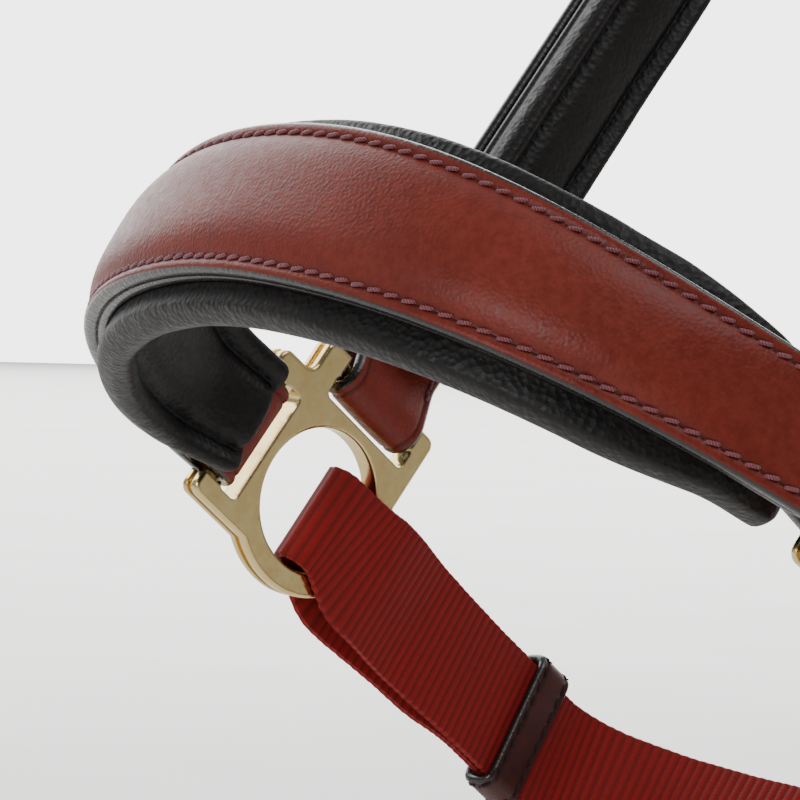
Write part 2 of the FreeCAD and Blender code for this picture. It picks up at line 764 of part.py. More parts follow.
def ply_stations():
    stations = []
    for back in (web_fold_u, 10.0, 15.0, 20.0, 24.0, 28.0, 32.0, 37.0, 44.0, 54.0, 64.0, 75.0):
        settle = smooth((back - 19.0) / 17.0)
        widen = smooth((back - web_fold_u) / 14.0)
        half = fold_half + (web_half - fold_half) * widen
        drop = web_drop - (web_half - half) * 0.6
        twist = math.radians(web_twist) * smooth((back - 20) / 40.0)
        across = (side_v * math.cos(twist) + side_w * math.sin(twist)) * -1
        spread = fold_gap * (1 - settle) + web_ply_gap * settle
        stations.append(PlyStation(side_point(-back, -drop), side_u * -1, across, half, spread))
    middle = []
    inner_count = 9
    for k in range(inner_count):
        t = (k + 0.5) / inner_count
        turn = math.radians(web_twist)
        tangent = tangent_of(chin_curve, t)
        level_out = axis_z.cross(tangent).normalize()
        across = (axis_z * math.cos(turn) + level_out * math.sin(turn)) * -1
        middle.append(PlyStation(chin_curve(t), tangent, across, web_half, web_ply_gap))
    left = []
    for station in reversed(stations):
        mirrored_station = PlyStation(
            mirror_point(station.point), Vector(0, 0, 1), axis_y, station.half, station.spread)
        mirrored_station.across = mirror_point(station.across)
        mirrored_station.out = mirror_point(station.out)
        left.append(mirrored_station)
    return stations + middle + left


def ply_section(side_sign):
    def section(station):
        near = side_sign * station.spread
        away = side_sign * (station.spread + web_thick)
        return [(-station.half, near), (station.half, near), (station.half, away), (-station.half, away)]
    return section


plies = ply_stations()
export("chin_webbing_outer_ply", loft(plies, ply_section(1)))
export("chin_webbing_inner_ply", loft(plies, ply_section(-1)))
fold_drop = web_drop - (web_half - fold_half) * 0.6
web_fold = half_tube(fold_gap, fold_gap + web_thick, 2 * fold_half,
                     Vector(-web_fold_u + 0.05, -fold_drop - fold_half, 0), axis_y, axis_x)
export_pair("chin_webbing_fold", on_side(web_fold))

web_keeper_half = web_half + keeper_gap
web_keeper_twist = math.radians(web_twist) * smooth((web_keeper_at - 20) / 40.0)
web_keeper_depth = web_thick + web_ply_gap + keeper_gap
web_keeper = keeper_solid(web_keeper_length, web_keeper_half, -web_keeper_depth, web_keeper_depth,
                          keeper_wall)
web_keeper.rotate(origin, axis_z, 90)
web_keeper.rotate(origin, axis_x, math.degrees(web_keeper_twist))
web_keeper.translate(Vector(-web_keeper_at, -web_drop, 0))
export_pair("chin_webbing_keeper", on_side(web_keeper))

# leather sleeve round the webbing under the chin
chin_point = chin_curve(0.5)
sleeve_gap = 1.7
sleeve = rounded_box(web_half + 1.0 + keeper_wall, web_thick + sleeve_gap + keeper_wall, sleeve_length, 1.6, origin)
sleeve = sleeve.cut(rounded_box(web_half + 1.0, web_thick + sleeve_gap, 3 * sleeve_length, 0.6,
                                Vector(0, 0, -sleeve_length)))
sleeve.translate(Vector(0, 0, -sleeve_length / 2))
sleeve_up = (axis_z * math.cos(math.radians(web_twist)) + axis_y * math.sin(math.radians(web_twist)))
sleeve_out = axis_x.cross(sleeve_up) * -1
sleeve_frame = frame_placement(chin_point - sleeve_out * 0.9, sleeve_up, sleeve_out)
export("chin_sleeve", placed(sleeve, sleeve_frame))
sleeve_back = chin_point + sleeve_out * (web_thick + sleeve_gap + keeper_wall - 0.9)

# lead fitting hangs from a leather loop behind the sleeve
down = lean.inverted().multVec(axis_z * -1)
lead_hinge = sleeve_back + sleeve_out * (fold_outer + 0.3) - sleeve_up * 3.0
lead_fitting = fitting_solid(lead_hole_r, lead_outer_r, [90], False)
lead_reach = bar_centre + lead_hole_r - ring_hole_r
lead_frame = frame_placement(lead_hinge + down * lead_reach, axis_x, down * -1)
export("lead_fitting", placed(lead_fitting, lead_frame))

lead_loop_inner = bar_r + 0.35
lead_loop_outer = lead_loop_inner + 2.2
lead_loop_half = slot_half - 1.5
lead_loop = half_tube(lead_loop_inner, lead_loop_outer, 2 * lead_loop_half,
                      lead_hinge - axis_x * lead_loop_half, axis_x, sleeve_out)
leg_reach = (lead_hinge - sleeve_back).dot(sleeve_out) - 0.1
leg_box = Part.makeBox(2 * lead_loop_half, leg_reach, lead_loop_outer - lead_loop_inner)
leg_corner = lead_hinge - axis_x * lead_loop_half - sleeve_out * leg_reach
upper_leg = frame_placement(leg_corner + sleeve_up * lead_loop_inner, axis_x, sleeve_out)
lower_leg = frame_placement(leg_corner - sleeve_up * lead_loop_outer, axis_x, sleeve_out)
lead_loop = joined([lead_loop, placed(leg_box, upper_leg), placed(leg_box, lower_leg)])
export("lead_fitting_loop", lead_loop)

# ------------------------------------------------------------------ throatlash
drop_angle = math.radians(lash_drop)
lash_side = side_u * -math.cos(drop_angle) - side_v * math.sin(drop_angle)
lash_run = Vector(0, lash_side.y, lash_side.z).normalize()
lash_across = axis_x.cross(lash_run)
throat_right = side_point(0, throat_height)
spread_angle = math.atan2(-lash_side.x, Vector(0, lash_side.y, lash_side.z).Length)
lash_r = (-throat_right.x + lash_leg * math.sin(spread_angle)) / math.cos(spread_angle)
lash_centre = lash_leg * math.cos(spread_angle) + lash_r * math.sin(spread_angle)
lash_right_start = 26.0
barrel_end = snap_barrel_start + snap_barrel_length
eye_bar = barrel_end + 13.6
lash_left_start = eye_bar + 3.4
lash_plane = frame_placement(Vector(0, throat_right.y, throat_right.z), axis_x, lash_run)


def lash_point(side_sign, distance, offset):
    """A point on a leg of the throatlash: distance along it and offset outwards, in its plane."""
    x = -throat_right.x + distance * math.sin(spread_angle) + offset * math.cos(spread_angle)
    s = distance * math.cos(spread_angle) - offset * math.sin(spread_angle)
    return Vector(side_sign * x, s, 0)


def lash_band():
    inner = -lash_thick / 2
    outer = lash_thick / 2
    bottom_inner = Vector(0, lash_centre + lash_r + inner, 0)
    bottom_outer = Vector(0, lash_centre + lash_r + outer, 0)
    right_outer = lash_point(-1, lash_right_start, outer)
    right_inner = lash_point(-1, lash_right_start, inner)
    left_outer = lash_point(1, lash_left_start, outer)
    left_inner = lash_point(1, lash_left_start, inner)
    edges = [
        Part.makeLine(right_outer, lash_point(-1, lash_leg, outer)),
        Part.Arc(lash_point(-1, lash_leg, outer), bottom_outer, lash_point(1, lash_leg, outer)).toShape(),
        Part.makeLine(lash_point(1, lash_leg, outer), left_outer),
        Part.makeLine(left_outer, left_inner),
        Part.makeLine(left_inner, lash_point(1, lash_leg, inner)),
        Part.Arc(lash_point(1, lash_leg, inner), bottom_inner, lash_point(-1, lash_leg, inner)).toShape(),
        Part.makeLine(lash_point(-1, lash_leg, inner), right_inner),
        Part.makeLine(right_inner, right_outer)]
    face = Part.Face(Part.Wire(edges))
    band = face.extrude(Vector(0, 0, lash_width))
    band.translate(Vector(0, 0, -lash_width / 2))
    return placed(band, lash_plane)


export("throatlash_strap", lash_band())


def lash_loop(start, end, inner, outer):
    """The folded leather that ties an end of the throatlash to a ring or an eye."""
    half = lash_width / 2
    pieces = [
        block(start, end, -half, half, inner, outer),
        block(start, end, -half, half, -outer, -inner),
        half_tube(inner, outer, 2 * half, Vector(start, -half, 0), axis_y, axis_x * -1)]
    return joined(pieces)


ring_loop_inner = fitting_thick / 2 + 0.3
right_loop = lash_loop(9.0, 46.0, ring_loop_inner, ring_loop_inner + 1.8)
lash_axis_frame = frame_placement(throat_right, lash_side, side_w.cross(lash_side))
export("throatlash_loop_right", placed(right_loop, lash_axis_frame))

# snap, drawn on the right-side axes and mirrored to the left
hook_centre = ring_outer_r - (ring_outer_r - ring_hole_r) / 2
hook_middle_r = snap_hook_r + snap_wire_r


def snap_body_solid():
    """Hook, barrel and bolt bore of the snap, along +x, with the hook's mouth on the -z side."""
    crook = Part.makeTorus(hook_middle_r, snap_wire_r, Vector(hook_centre, 0, 0), axis_y)
    front_half = Part.makeBox(30, 30, 30, Vector(hook_centre - 30, -15, -15))
    crook = crook.common(front_half)
    shank_length = snap_barrel_start + 2 - hook_centre
    shank = Part.makeCylinder(snap_wire_r, shank_length, Vector(hook_centre, 0, hook_middle_r), axis_x)
    lip = Part.makeCylinder(snap_wire_r, 1.0, Vector(hook_centre, 0, -hook_middle_r), axis_x)
    barrel = Part.makeCylinder(snap_barrel_r, snap_barrel_length, Vector(snap_barrel_start, 0, 0), axis_x)
    saddle = Part.makeBox(6.0, 2 * snap_wire_r, hook_middle_r + snap_wire_r,
                          Vector(snap_barrel_start, -snap_wire_r, 0))
    lower = Part.makeCylinder(snap_bolt_r + 1.5, snap_barrel_length - 4, Vector(snap_barrel_start, 0,
                              -hook_middle_r), axis_x)
    web = Part.makeBox(snap_barrel_length - 4, 2 * snap_wire_r, hook_middle_r,
                       Vector(snap_barrel_start, -snap_wire_r, -hook_middle_r))
    body = joined([crook, shank, lip, barrel, saddle, lower, web])
    bore = Part.makeCylinder(snap_bolt_r + snap_bolt_gap, snap_barrel_length - 4,
                             Vector(snap_barrel_start - 1, 0, -hook_middle_r), axis_x)
    thumb_slot = Part.makeBox(snap_bolt_travel + 3.4, 2.6, 8,
                              Vector(snap_barrel_start + 2.6, -1.3, -hook_middle_r - 8))
    neck_bore = Part.makeCylinder(snap_neck_r + 0.06, 12, Vector(barrel_end - 10, 0, 0), axis_x)
    head_pocket = Part.makeCylinder(snap_neck_r + 1.16, 3.1, Vector(barrel_end - 8.05, 0, 0), axis_x)
    return body.cut(bore).cut(thumb_slot).cut(neck_bore).cut(head_pocket)


def snap_bolt_solid():
    start = hook_centre + 1.1
    length = snap_barrel_start + 5.9 - start
    pin = Part.makeCylinder(snap_bolt_r, length, Vector(start, 0, -hook_middle_r), axis_x)
    stem = Part.makeCylinder(1.1, 3.8, Vector(snap_barrel_start + 4.6, 0, -hook_middle_r), axis_z * -1)
    thumb = Part.makeCylinder(2.2, 1.4, Vector(snap_barrel_start + 4.6, 0, -hook_middle_r - 3.8), axis_z * -1)
    return joined([pin, stem, thumb])


def snap_eye_solid():
    """Swivel neck and the square eye that the throatlash folds through."""
    neck = Part.makeCylinder(snap_neck_r, 9.5, Vector(barrel_end - 7.0, 0, 0), axis_x)
    head = Part.makeCylinder(snap_neck_r + 1.1, 2.0, Vector(barrel_end - 7.5, 0, 0), axis_x)
    near_bar = barrel_end + 3.4
    frame = wire_frame([
        Vector(near_bar, -snap_eye_half - 1.9, 0), Vector(near_bar, snap_eye_half + 1.9, 0),
        Vector(near_bar + 10.2, snap_eye_half + 1.9, 0), Vector(near_bar + 10.2, -snap_eye_half - 1.9, 0)],
        1.9, 3.4)
    return joined([neck, head, frame])


def on_lash_left(shape):
    return mirrored(placed(shape, lash_axis_frame))


export("throat_snap_body", on_lash_left(snap_body_solid()))
export("throat_snap_bolt", on_lash_left(snap_bolt_solid()))
export("throat_snap_eye", on_lash_left(snap_eye_solid()))

left_loop = lash_loop(eye_bar, lash_leg - 0.5, 1.9 + layer_gap, 1.9 + layer_gap + 1.8)
export("throatlash_loop_left", on_lash_left(left_loop))

# ------------------------------------------------------------------ jowl strap
lash_bottom = lash_plane.multVec(Vector(0, lash_centre + lash_r, 0))
lash_down = lash_across if lash_across.z < 0 else lash_across * -1
jowl_top = lash_bottom + lash_down * (lash_width / 2 + 3.4)
jowl_bottom = sleeve_back + sleeve_out * (leather / 2 + 0.2) + sleeve_up * 7.5
jowl_run = (jowl_top - jowl_bottom).normalize()
jowl = Part.makeBox(jowl_width, (jowl_top - jowl_bottom).Length, leather,
                    Vector(-jowl_width / 2, 0, -leather / 2))
export("jowl_strap", placed(jowl, frame_placement(jowl_bottom, axis_x, jowl_run)))

jowl_sleeve = rounded_box(lash_width / 2 + 0.4 + 1.8, lash_thick / 2 + 1.3 + 1.8, jowl_width, 1.5, origin)
jowl_sleeve = jowl_sleeve.cut(rounded_box(lash_width / 2 + 0.4, lash_thick / 2 + 1.3, 3 * jowl_width, 0.5,
                                          Vector(0, 0, -jowl_width)))
jowl_sleeve.translate(Vector(0, 0, -jowl_width / 2))
jowl_sleeve_frame = frame_placement(lash_bottom - lash_run * 0.25, lash_down, lash_run)
export("jowl_strap_sleeve", placed(jowl_sleeve, jowl_sleeve_frame))
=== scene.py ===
"""Leather headcollar: stitched straps, padded linings, webbing and polished castings.

Everything is worked out in the head frame, in millimetres: X to the horse's left, Y to the back
of the face, Z up the face, with the origin midway between the two cheek fittings.  Head.world
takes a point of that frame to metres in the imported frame.  Straps are swept along a Route, and
pieces of the right side are mirrored to make those of the left.
"""

import json
import math
from types import SimpleNamespace

import bmesh
import bpy
import numpy as np
from bpy.props import FloatProperty, PointerProperty, StringProperty
from bpy.types import Operator, Panel, PropertyGroup
from mathutils import Matrix, Vector, noise


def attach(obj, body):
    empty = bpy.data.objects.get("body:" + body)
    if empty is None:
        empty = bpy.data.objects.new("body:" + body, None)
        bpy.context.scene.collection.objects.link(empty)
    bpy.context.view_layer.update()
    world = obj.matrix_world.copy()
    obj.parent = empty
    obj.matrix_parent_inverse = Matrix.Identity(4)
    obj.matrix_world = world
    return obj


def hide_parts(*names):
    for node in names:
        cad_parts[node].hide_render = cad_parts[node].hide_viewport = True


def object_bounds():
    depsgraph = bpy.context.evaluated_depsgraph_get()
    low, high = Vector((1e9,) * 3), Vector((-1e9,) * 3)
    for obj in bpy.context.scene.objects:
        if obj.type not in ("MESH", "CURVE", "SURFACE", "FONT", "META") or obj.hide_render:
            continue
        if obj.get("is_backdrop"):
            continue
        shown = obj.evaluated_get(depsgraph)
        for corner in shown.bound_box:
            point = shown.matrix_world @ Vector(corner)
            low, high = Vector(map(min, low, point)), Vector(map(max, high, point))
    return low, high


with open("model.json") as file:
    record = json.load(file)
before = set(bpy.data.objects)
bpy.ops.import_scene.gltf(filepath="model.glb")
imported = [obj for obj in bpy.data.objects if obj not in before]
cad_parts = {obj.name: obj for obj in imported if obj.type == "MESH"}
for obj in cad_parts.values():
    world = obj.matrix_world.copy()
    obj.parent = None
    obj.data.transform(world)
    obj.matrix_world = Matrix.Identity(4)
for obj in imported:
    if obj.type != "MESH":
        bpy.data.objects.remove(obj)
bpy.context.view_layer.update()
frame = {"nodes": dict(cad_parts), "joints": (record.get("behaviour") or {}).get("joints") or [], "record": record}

bl_info = {
    "name": "Leather Headcollar",
    "version": (1, 0, 0),
    "blender": (4, 5, 0),
    "location": "View3D > Sidebar > Headcollar",
    "description": "Builds the stitched leather, webbing and metal finishes of a padded headcollar",
    "category": "Add Mesh",
}

MM = 0.001
CHIN_CORNER = 28.0          # mm, pole that rounds the webbing into the chin
CHIN_FLAT = 46.0            # mm, pole of the webbing's curve under the chin, off the middle
CHIN_DEPTH = 119.0          # mm, that pole behind the cheek fittings
SLEEVE_GAP = 1.7            # mm, webbing to the sleeve under the chin
SLEEVE_INWARD = 0.9         # mm, the sleeve's middle is this far towards the jaw
SNAP_BARREL_START = 22.2    # mm, throat fitting centre to the snap's barrel
SNAP_BARREL_LENGTH = 17.0
SNAP_EYE_REACH = 13.6       # mm, end of the barrel to the eye's bar
LASH_LEG = 68.0             # mm, throat fitting centre to the start of the curve under the throat
FLOOR_REACH = 26.0          # m, half side of the studio floor
FLOOR_DROP = 0.35           # m, floor below the lowest point
AXIS_X = Vector((1, 0, 0))
AXIS_Y = Vector((0, 1, 0))
AXIS_Z = Vector((0, 0, 1))


# ------------------------------------------------------------------ sizes and colours
def length(name, description, millimetres):
    return FloatProperty(name=name, description=description, default=millimetres * MM,
                         unit="LENGTH", precision=4, min=0.0)


def angle(name, description, degrees):
    return FloatProperty(name=name, description=description, default=math.radians(degrees),
                         unit="ROTATION")


class HeadcollarSizes(PropertyGroup):
    """Sizes of the straps and their details."""

    half_span: length("Half span", "Centre of the head to a cheek fitting", 83.8)
    side_yaw: angle("Side yaw", "The cheek fittings open towards the back of the head", 6.1)
    side_pitch: angle("Side pitch", "The cheekpieces lean back from the face line", 4.7)
    head_tilt: angle("Head tilt", "The face line leans back from the vertical", 32.0)
    throat_height: length("Throat height", "Cheek fitting to throat fitting", 205.0)
    bar_centre: length("Bar centre", "Ring centre to the middle of a strap bar", 21.9)
    bar_radius: length("Bar radius", "Radius of a strap bar", 1.8)
    strap_width: length("Strap width", "Width of the flat straps", 20.5)
    leather: length("Leather", "Thickness of the outer leather", 2.6)
    backing: length("Backing", "Thickness of the noseband's backing", 1.2)
    layer_gap: length("Layer gap", "Space between two sewn layers", 0.15)
    stitch_pitch: length("Stitch pitch", "Hole to hole along a seam", 3.14)
    stitch_margin: length("Stitch margin", "Seam to the leather's edge", 2.25)
    thread: length("Thread", "Thickness of the sewing thread", 0.66)
    nose_width: length("Noseband width", "Width of the noseband at the front", 27.0)
    nose_rise: length("Noseband rise", "Padded centre above the flat edges", 2.2)
    nose_depth: length("Noseband depth", "Pole of the noseband's curve ahead of the bars", 65.6)
    nose_corner_depth: length("Corner depth", "Pole that rounds the noseband's corners", 70.1)
    nose_corner_in: length("Corner inset", "How far in that pole sits", 17.7)
    nose_flat: length("Noseband flat", "Half length of the flat front", 13.2)
    nose_lift: length("Noseband lift", "Height of the front above the fittings", 6.2)
    nose_taper: length("Noseband taper", "Length of the taper at each end", 95.0)
    lining_depth: length("Lining depth", "Thickness of the padded lining", 6.5)
    lining_overhang: length("Lining overhang", "Lining beyond the noseband's edge", 4.6)
    buckle_heel: length("Buckle heel", "Height of the buckle's heel bar", 272.0)
    buckle_length: length("Buckle length", "Heel bar to far bar", 21.0)
    billet_tail: length("Billet tail", "Billet end below the heel bar", 34.0)
    crown_start: length("Crown start", "Height at which the padded crown starts", 309.0)
    crown_spring: length("Crown spring", "Height at which the crown starts to arch", 342.0)
    crown_rise: length("Crown rise", "Height of the arch", 66.0)
    crown_width: length("Crown width", "Width of the crown at the top", 30.0)
    web_width: length("Webbing width", "Width of the chin webbing", 25.0)
    web_thick: length("Webbing thickness", "Thickness of one ply", 1.5)
    web_rib: length("Webbing rib", "Rib to rib along the webbing", 1.85)
    web_drop: length("Webbing drop", "Webbing centre below the fitting centre", 3.5)
    web_twist: angle("Webbing twist", "The lower edge turns in under the jaw", 9.0)
    keeper_wall: length("Keeper wall", "Thickness of a keeper's leather", 1.7)
    lash_width: length("Throatlash width", "Width of the throatlash", 17.0)
    lash_thick: length("Throatlash thickness", "Thickness of the throatlash", 3.0)
    lash_drop: angle("Throatlash drop", "Its direction below the line of the jaw", 32.0)


def colour(name, description, code):
    return StringProperty(name=name, description=description, default=code)


class HeadcollarColours(PropertyGroup):
    """Colours as sRGB hex codes."""

    leather: colour("Leather", "Burgundy grain side", "#73271d")
    leather_light: colour("Leather, rubbed", "Where the finish is thin", "#833226")
    # Deep tone of the flesh side's fibres; on the grain side it is the painted shade beside the seams.
    leather_deep_and_seam_shade: colour("Leather, deep", "In the grain and beside the seams", "#42100b")
    flesh: colour("Flesh side", "Dyed flesh side", "#7a1512")
    keeper: colour("Keeper", "Keepers and small pieces", "#341410")
    edge: colour("Edge paint", "Painted edges", "#0b0908")
    thread: colour("Thread", "Sewing thread", "#8c4650")
    lining: colour("Lining", "Padded lining", "#0f0d0c")
    # The webbing's own red; the next colour is painted shade laid between its ribs and warp ends.
    webbing: colour("Webbing", "Rib crests", "#920f0c")
    webbing_weave_shade: colour("Webbing, deep", "Between the ribs", "#3c0504")
    brass: colour("Brass", "Pale polished castings", "#dcc184")
    brass_deep: colour("Brass, deep", "Where the polish has dulled", "#a8854a")
    floor: colour("Floor", "Studio floor", "#f3f2f0")


def in_millimetres(sizes):
    """The sizes as plain numbers: lengths in millimetres, angles in radians."""
    values = {}
    for name in HeadcollarSizes.__annotations__:
        value = getattr(sizes, name)
        is_length = sizes.bl_rna.properties[name].unit == "LENGTH"
        values[name] = value / MM if is_length else value
    return SimpleNamespace(**values)


def linear(code):
    """Linear colour of an sRGB hex code."""
    channels = [int(code[i:i + 2], 16) / 255 for i in (1, 3, 5)]
    curved = [c / 12.92 if c <= 0.04045 else ((c + 0.055) / 1.055) ** 2.4 for c in channels]
    return (*curved, 1.0)


def smooth(x):
    x = min(1.0, max(0.0, x))
    return x * x * (3 - 2 * x)


def steps(start, end, count):
    return [start + (end - start) * k / (count - 1) for k in range(count)]


# ------------------------------------------------------------------ frames
class Head:
    """The head frame, the right side's own directions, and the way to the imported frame."""

    def __init__(self, context):
        self.size = in_millimetres(context.scene.headcollar_sizes)
        size = self.size
        yaw, pitch, tilt = size.side_yaw, size.side_pitch, size.head_tilt
        aside, ahead = math.sin(yaw), math.cos(yaw)
        self.u = Vector((aside * math.cos(pitch), -ahead * math.cos(pitch), math.sin(pitch)))
        self.v = Vector((-aside * math.sin(pitch), ahead * math.sin(pitch), math.cos(pitch)))
        self.w = self.u.cross(self.v)
        self.lean = Matrix.Rotation(-tilt, 3, "X")
        heel = next(j for j in frame["joints"] if j["name"] == "crown_tongue_right")["pos_m"]
        self.origin = Vector(heel) - self.lean @ (self.side(0, size.buckle_heel) * MM)
        self.strap_half = size.strap_width / 2
        self.fold_inner = size.bar_radius + size.layer_gap
        self.fold_middle = self.fold_inner + size.leather / 2

    def side(self, u, v, w=0.0):
        """A point given along the right side: u to the nose, v up the cheek, w outwards."""
        return Vector((-self.size.half_span, 0, 0)) + self.u * u + self.v * v + self.w * w

    def world(self, point):
        return self.origin + self.lean @ (point * MM)


def mirrored(point):
    return Vector((-point.x, point.y, point.z))


def bezier(poles, t):
    points = [p.copy() for p in poles]
    while len(points) > 1:
        points = [p.lerp(q, t) for p, q in zip(points, points[1:])]
    return points[0]


# ------------------------------------------------------------------ routes and sweeps
class Route:
    """A strap's middle line with its across direction and half width, measured along its length."""

    def __init__(self, points, across, half, closed=False, soften=0):
        line = np.array([tuple(p) for p in points], float)
        sides = np.array([tuple(a) for a in across], float) if isinstance(across, list) else \
            np.tile(np.array(tuple(across), float), (len(line), 1))
        halves = np.array(half, float) if isinstance(half, list) else np.full(len(line), float(half))
        if closed:
            line, sides = np.vstack([line, line[:1]]), np.vstack([sides, sides[:1]])
            halves = np.append(halves, halves[0])
        reach = np.concatenate([[0], np.cumsum(np.linalg.norm(np.diff(line, axis=0), axis=1))])
        count = max(8, int(reach[-1] / 0.4))
        self.at = np.linspace(0, reach[-1], count)
        self.line = np.stack([np.interp(self.at, reach, line[:, k]) for k in range(3)], 1)
        self.sides = np.stack([np.interp(self.at, reach, sides[:, k]) for k in range(3)], 1)
        self.halves = np.interp(self.at, reach, halves)
        for _ in range(soften):
            self.line[1:-1] = (self.line[:-2] + self.line[1:-1] * 2 + self.line[2:]) / 4
        gaps = np.linalg.norm(np.diff(self.line, axis=0), axis=1)
        self.at = np.concatenate([[0], np.cumsum(gaps)])
        self.total = self.at[-1]
        self.closed = closed
        ahead, behind = np.roll(self.line, -1, 0), np.roll(self.line, 1, 0)
        if closed:
            ahead[-1], behind[0] = self.line[1], self.line[-2]
        else:
            ahead[-1], behind[0] = self.line[-1], self.line[0]
        self.run = (ahead - behind) / np.linalg.norm(ahead - behind, axis=1)[:, None]

    def station(self, distance):
        """Point, tangent, across, out, half width and distances at that length."""
        def read(values):
            return np.array([np.interp(distance, self.at, values[:, k]) for k in range(3)])
        tangent = Vector(read(self.run)).normalized()
        out = tangent.cross(Vector(read(self.sides))).normalized()
        return SimpleNamespace(
            point=Vector(read(self.line)), tangent=tangent, out=out, across=out.cross(tangent),
            half=float(np.interp(distance, self.at, self.halves)), distance=distance,
            end=min(distance, self.total - distance), total=self.total)


def stations_along(route, spacing, tip=0.0):
    """Stations spacing apart, and closer together over the last tip millimetres at each end."""
    if route.closed:
        count = int(route.total / spacing)
        return [route.station(route.total * k / count) for k in range(count)]
    ends = [tip * (1 - math.cos(math.pi / 2 * k / 6)) for k in range(6)] if tip else []
    count = max(2, int((route.total - 2 * tip) / spacing) + 1)
    middle = steps(tip, route.total - tip, count)
    return [route.station(d) for d in ends + middle + [route.total - e for e in reversed(ends)]]


GRAIN, EDGE, FLESH, HOLE = 0, 1, 2, 3


def build_object(head, name, points, faces, zones, materials, uvs=None, groove_shades=None):
    """One mesh object from points in the head frame; uvs holds one (u, v) for each face corner, and each point's
    groove value weights the painted shade stored in the groove attribute.
    """
    mesh = bpy.data.meshes.new(name)
    mesh.from_pydata([tuple(head.world(p)) for p in points], [], faces)
    for material in materials:
        mesh.materials.append(material)
    mesh.polygons.foreach_set("material_index", zones)
    mesh.polygons.foreach_set("use_smooth", [True] * len(faces))
    if uvs is not None:
        layer = mesh.uv_layers.new(name="along_and_round")
        layer.data.foreach_set("uv", np.array(uvs, float).ravel())
    if groove_shades is not None:
        mesh.attributes.new("groove", "FLOAT", "POINT").data.foreach_set("value", groove_shades)
    work = bmesh.new()
    work.from_mesh(mesh)
    bmesh.ops.recalc_face_normals(work, faces=work.faces)
    work.to_mesh(mesh)
    work.free()
    mesh.set_sharp_from_angle(angle=math.radians(50))
    obj = bpy.data.objects.new(name, mesh)
    bpy.context.scene.collection.objects.link(obj)
    return obj


def mirror_copy(obj, name):
    """The left side's copy of a right-side piece."""
    mesh = obj.data.copy()
    mesh.name = name
    mesh.transform(Matrix.Scale(-1, 4, AXIS_X))
    mesh.flip_normals()
    copy = bpy.data.objects.new(name, mesh)
    bpy.context.scene.collection.objects.link(copy)
    return copy


def sweep(head, name, stations, section, materials, closed=False, round_end=0.0):
    """A strap: section(station) gives its outline as (across, outwards, zone, groove) points, groove weighting the
    painted shade at that point.
    """
    points, groove_shades, faces, zones, uvs = [], [], [], [], []
    count = 0
    girth = None
    for station in stations:
        outline = section(station)
        count = len(outline)
        inset = 0.0
        if round_end and station.end < round_end:
            inset = round_end * (1 - math.sqrt(1 - ((round_end - station.end) / round_end) ** 2))
        low, high = min(p[1] for p in outline), max(p[1] for p in outline)
        middle, depth = (low + high) / 2, (high - low) / 2
        narrow = max(0.15, 1 - inset / station.half)
        thin = max(0.15, 1 - inset / depth)
        flat = [(a * narrow, middle + (b - middle) * thin) for a, b, _, _ in outline]
        if girth is None:
            girth = [0.0]
            for (a, b), (c, d) in zip(flat, flat[1:] + flat[:1]):
                girth.append(girth[-1] + math.hypot(c - a, d - b))
        points += [station.point + station.across * a + station.out * b for a, b in flat]
        groove_shades += [p[3] for p in outline]
    last = len(stations) if closed else len(stations) - 1
    zone_of = [p[2] for p in section(stations[0])]
    for i in range(last):
        here, there = i * count, ((i + 1) % len(stations)) * count
        start = stations[i].distance
        end = stations[i + 1].distance if i + 1 < len(stations) else stations[i].total
        for k in range(count):
            after = (k + 1) % count
            faces.append((here + k, here + after, there + after, there + k))
            zones.append(zone_of[k])
            uvs += [(start, girth[k]), (start, girth[k + 1]), (end, girth[k + 1]), (end, girth[k])]
    if not closed:
        for first, station in ((0, stations[0]), ((len(stations) - 1) * count, stations[-1])):
            faces.append(tuple(range(first, first + count)))
            zones.append(EDGE)
            uvs += [(station.distance, 0.0)] * count
    return build_object(head, name, points, faces, zones, materials, uvs, groove_shades)


def arc(centre_a, centre_b, radius_a, radius_b, start, end, count):
    """Points of an elliptical arc, angles in degrees."""
    angles = [math.radians(start + (end - start) * k / (count - 1)) for k in range(count)]
    return [(centre_a + radius_a * math.cos(t), centre_b + radius_b * math.sin(t)) for t in angles]


def strap_section(inner, outer, seam=None, crown=0.15, groove=0.22):
    """A flat strap with round painted edges; seam is the distance of its stitch rows from the edge."""
    middle, thick = (inner + outer) / 2, outer - inner
    edge = min(0.48 * thick, 1.15)

    def section(station):
        half = station.half
        flat = half - edge
        row = half - seam if seam else None
        across = list(np.linspace(-flat, flat, 7))
        if row:
            across += [s * (row + d) for s in (-1, 1) for d in (-0.9, -0.5, -0.25, 0.0, 0.25, 0.5, 0.9)]
        points = [(a, inner, FLESH, 0.0) for a in np.linspace(-flat, flat, 6)]
        points += [(a, b, EDGE, 0.0) for a, b in arc(flat, middle, edge, thick / 2, -72, 72, 7)]
        for a in sorted(across, reverse=True):
            # dip dents the stitch groove, and as the fourth value it weights the painted shade in it.
            dip = math.exp(-((abs(a) - row) / 0.42) ** 2) if row else 0.0
            points.append((a, outer + crown * (1 - (a / half) ** 2) - groove * dip, GRAIN, dip))
        points += [(a, b, EDGE, 0.0) for a, b in arc(-flat, middle, edge, thick / 2, 108, 252, 7)]
        return points
    return section


def round_outline(points, times=2):
    """Cuts the corners of a closed outline to round it."""
    for _ in range(times):
        ahead = points[1:] + points[:1]
        points = [q for (a, b), (c, d) in zip(points, ahead)
                  for q in ((a * 0.75 + c * 0.25, b * 0.75 + d * 0.25),
                            (a * 0.25 + c * 0.75, b * 0.25 + d * 0.75))]
    return points


ROLLS = [(-0.99, 0.42), (-1.0, 0.70), (-0.93, 0.98), (-0.80, 1.03), (-0.66, 0.78), (-0.60, 0.62), (-0.54, 0.72),
         (-0.38, 0.94), (0.0, 1.0), (0.38, 0.94), (0.54, 0.72), (0.60, 0.62), (0.66, 0.78), (0.80, 1.03),
         (0.93, 0.98), (1.0, 0.70), (0.99, 0.42)]


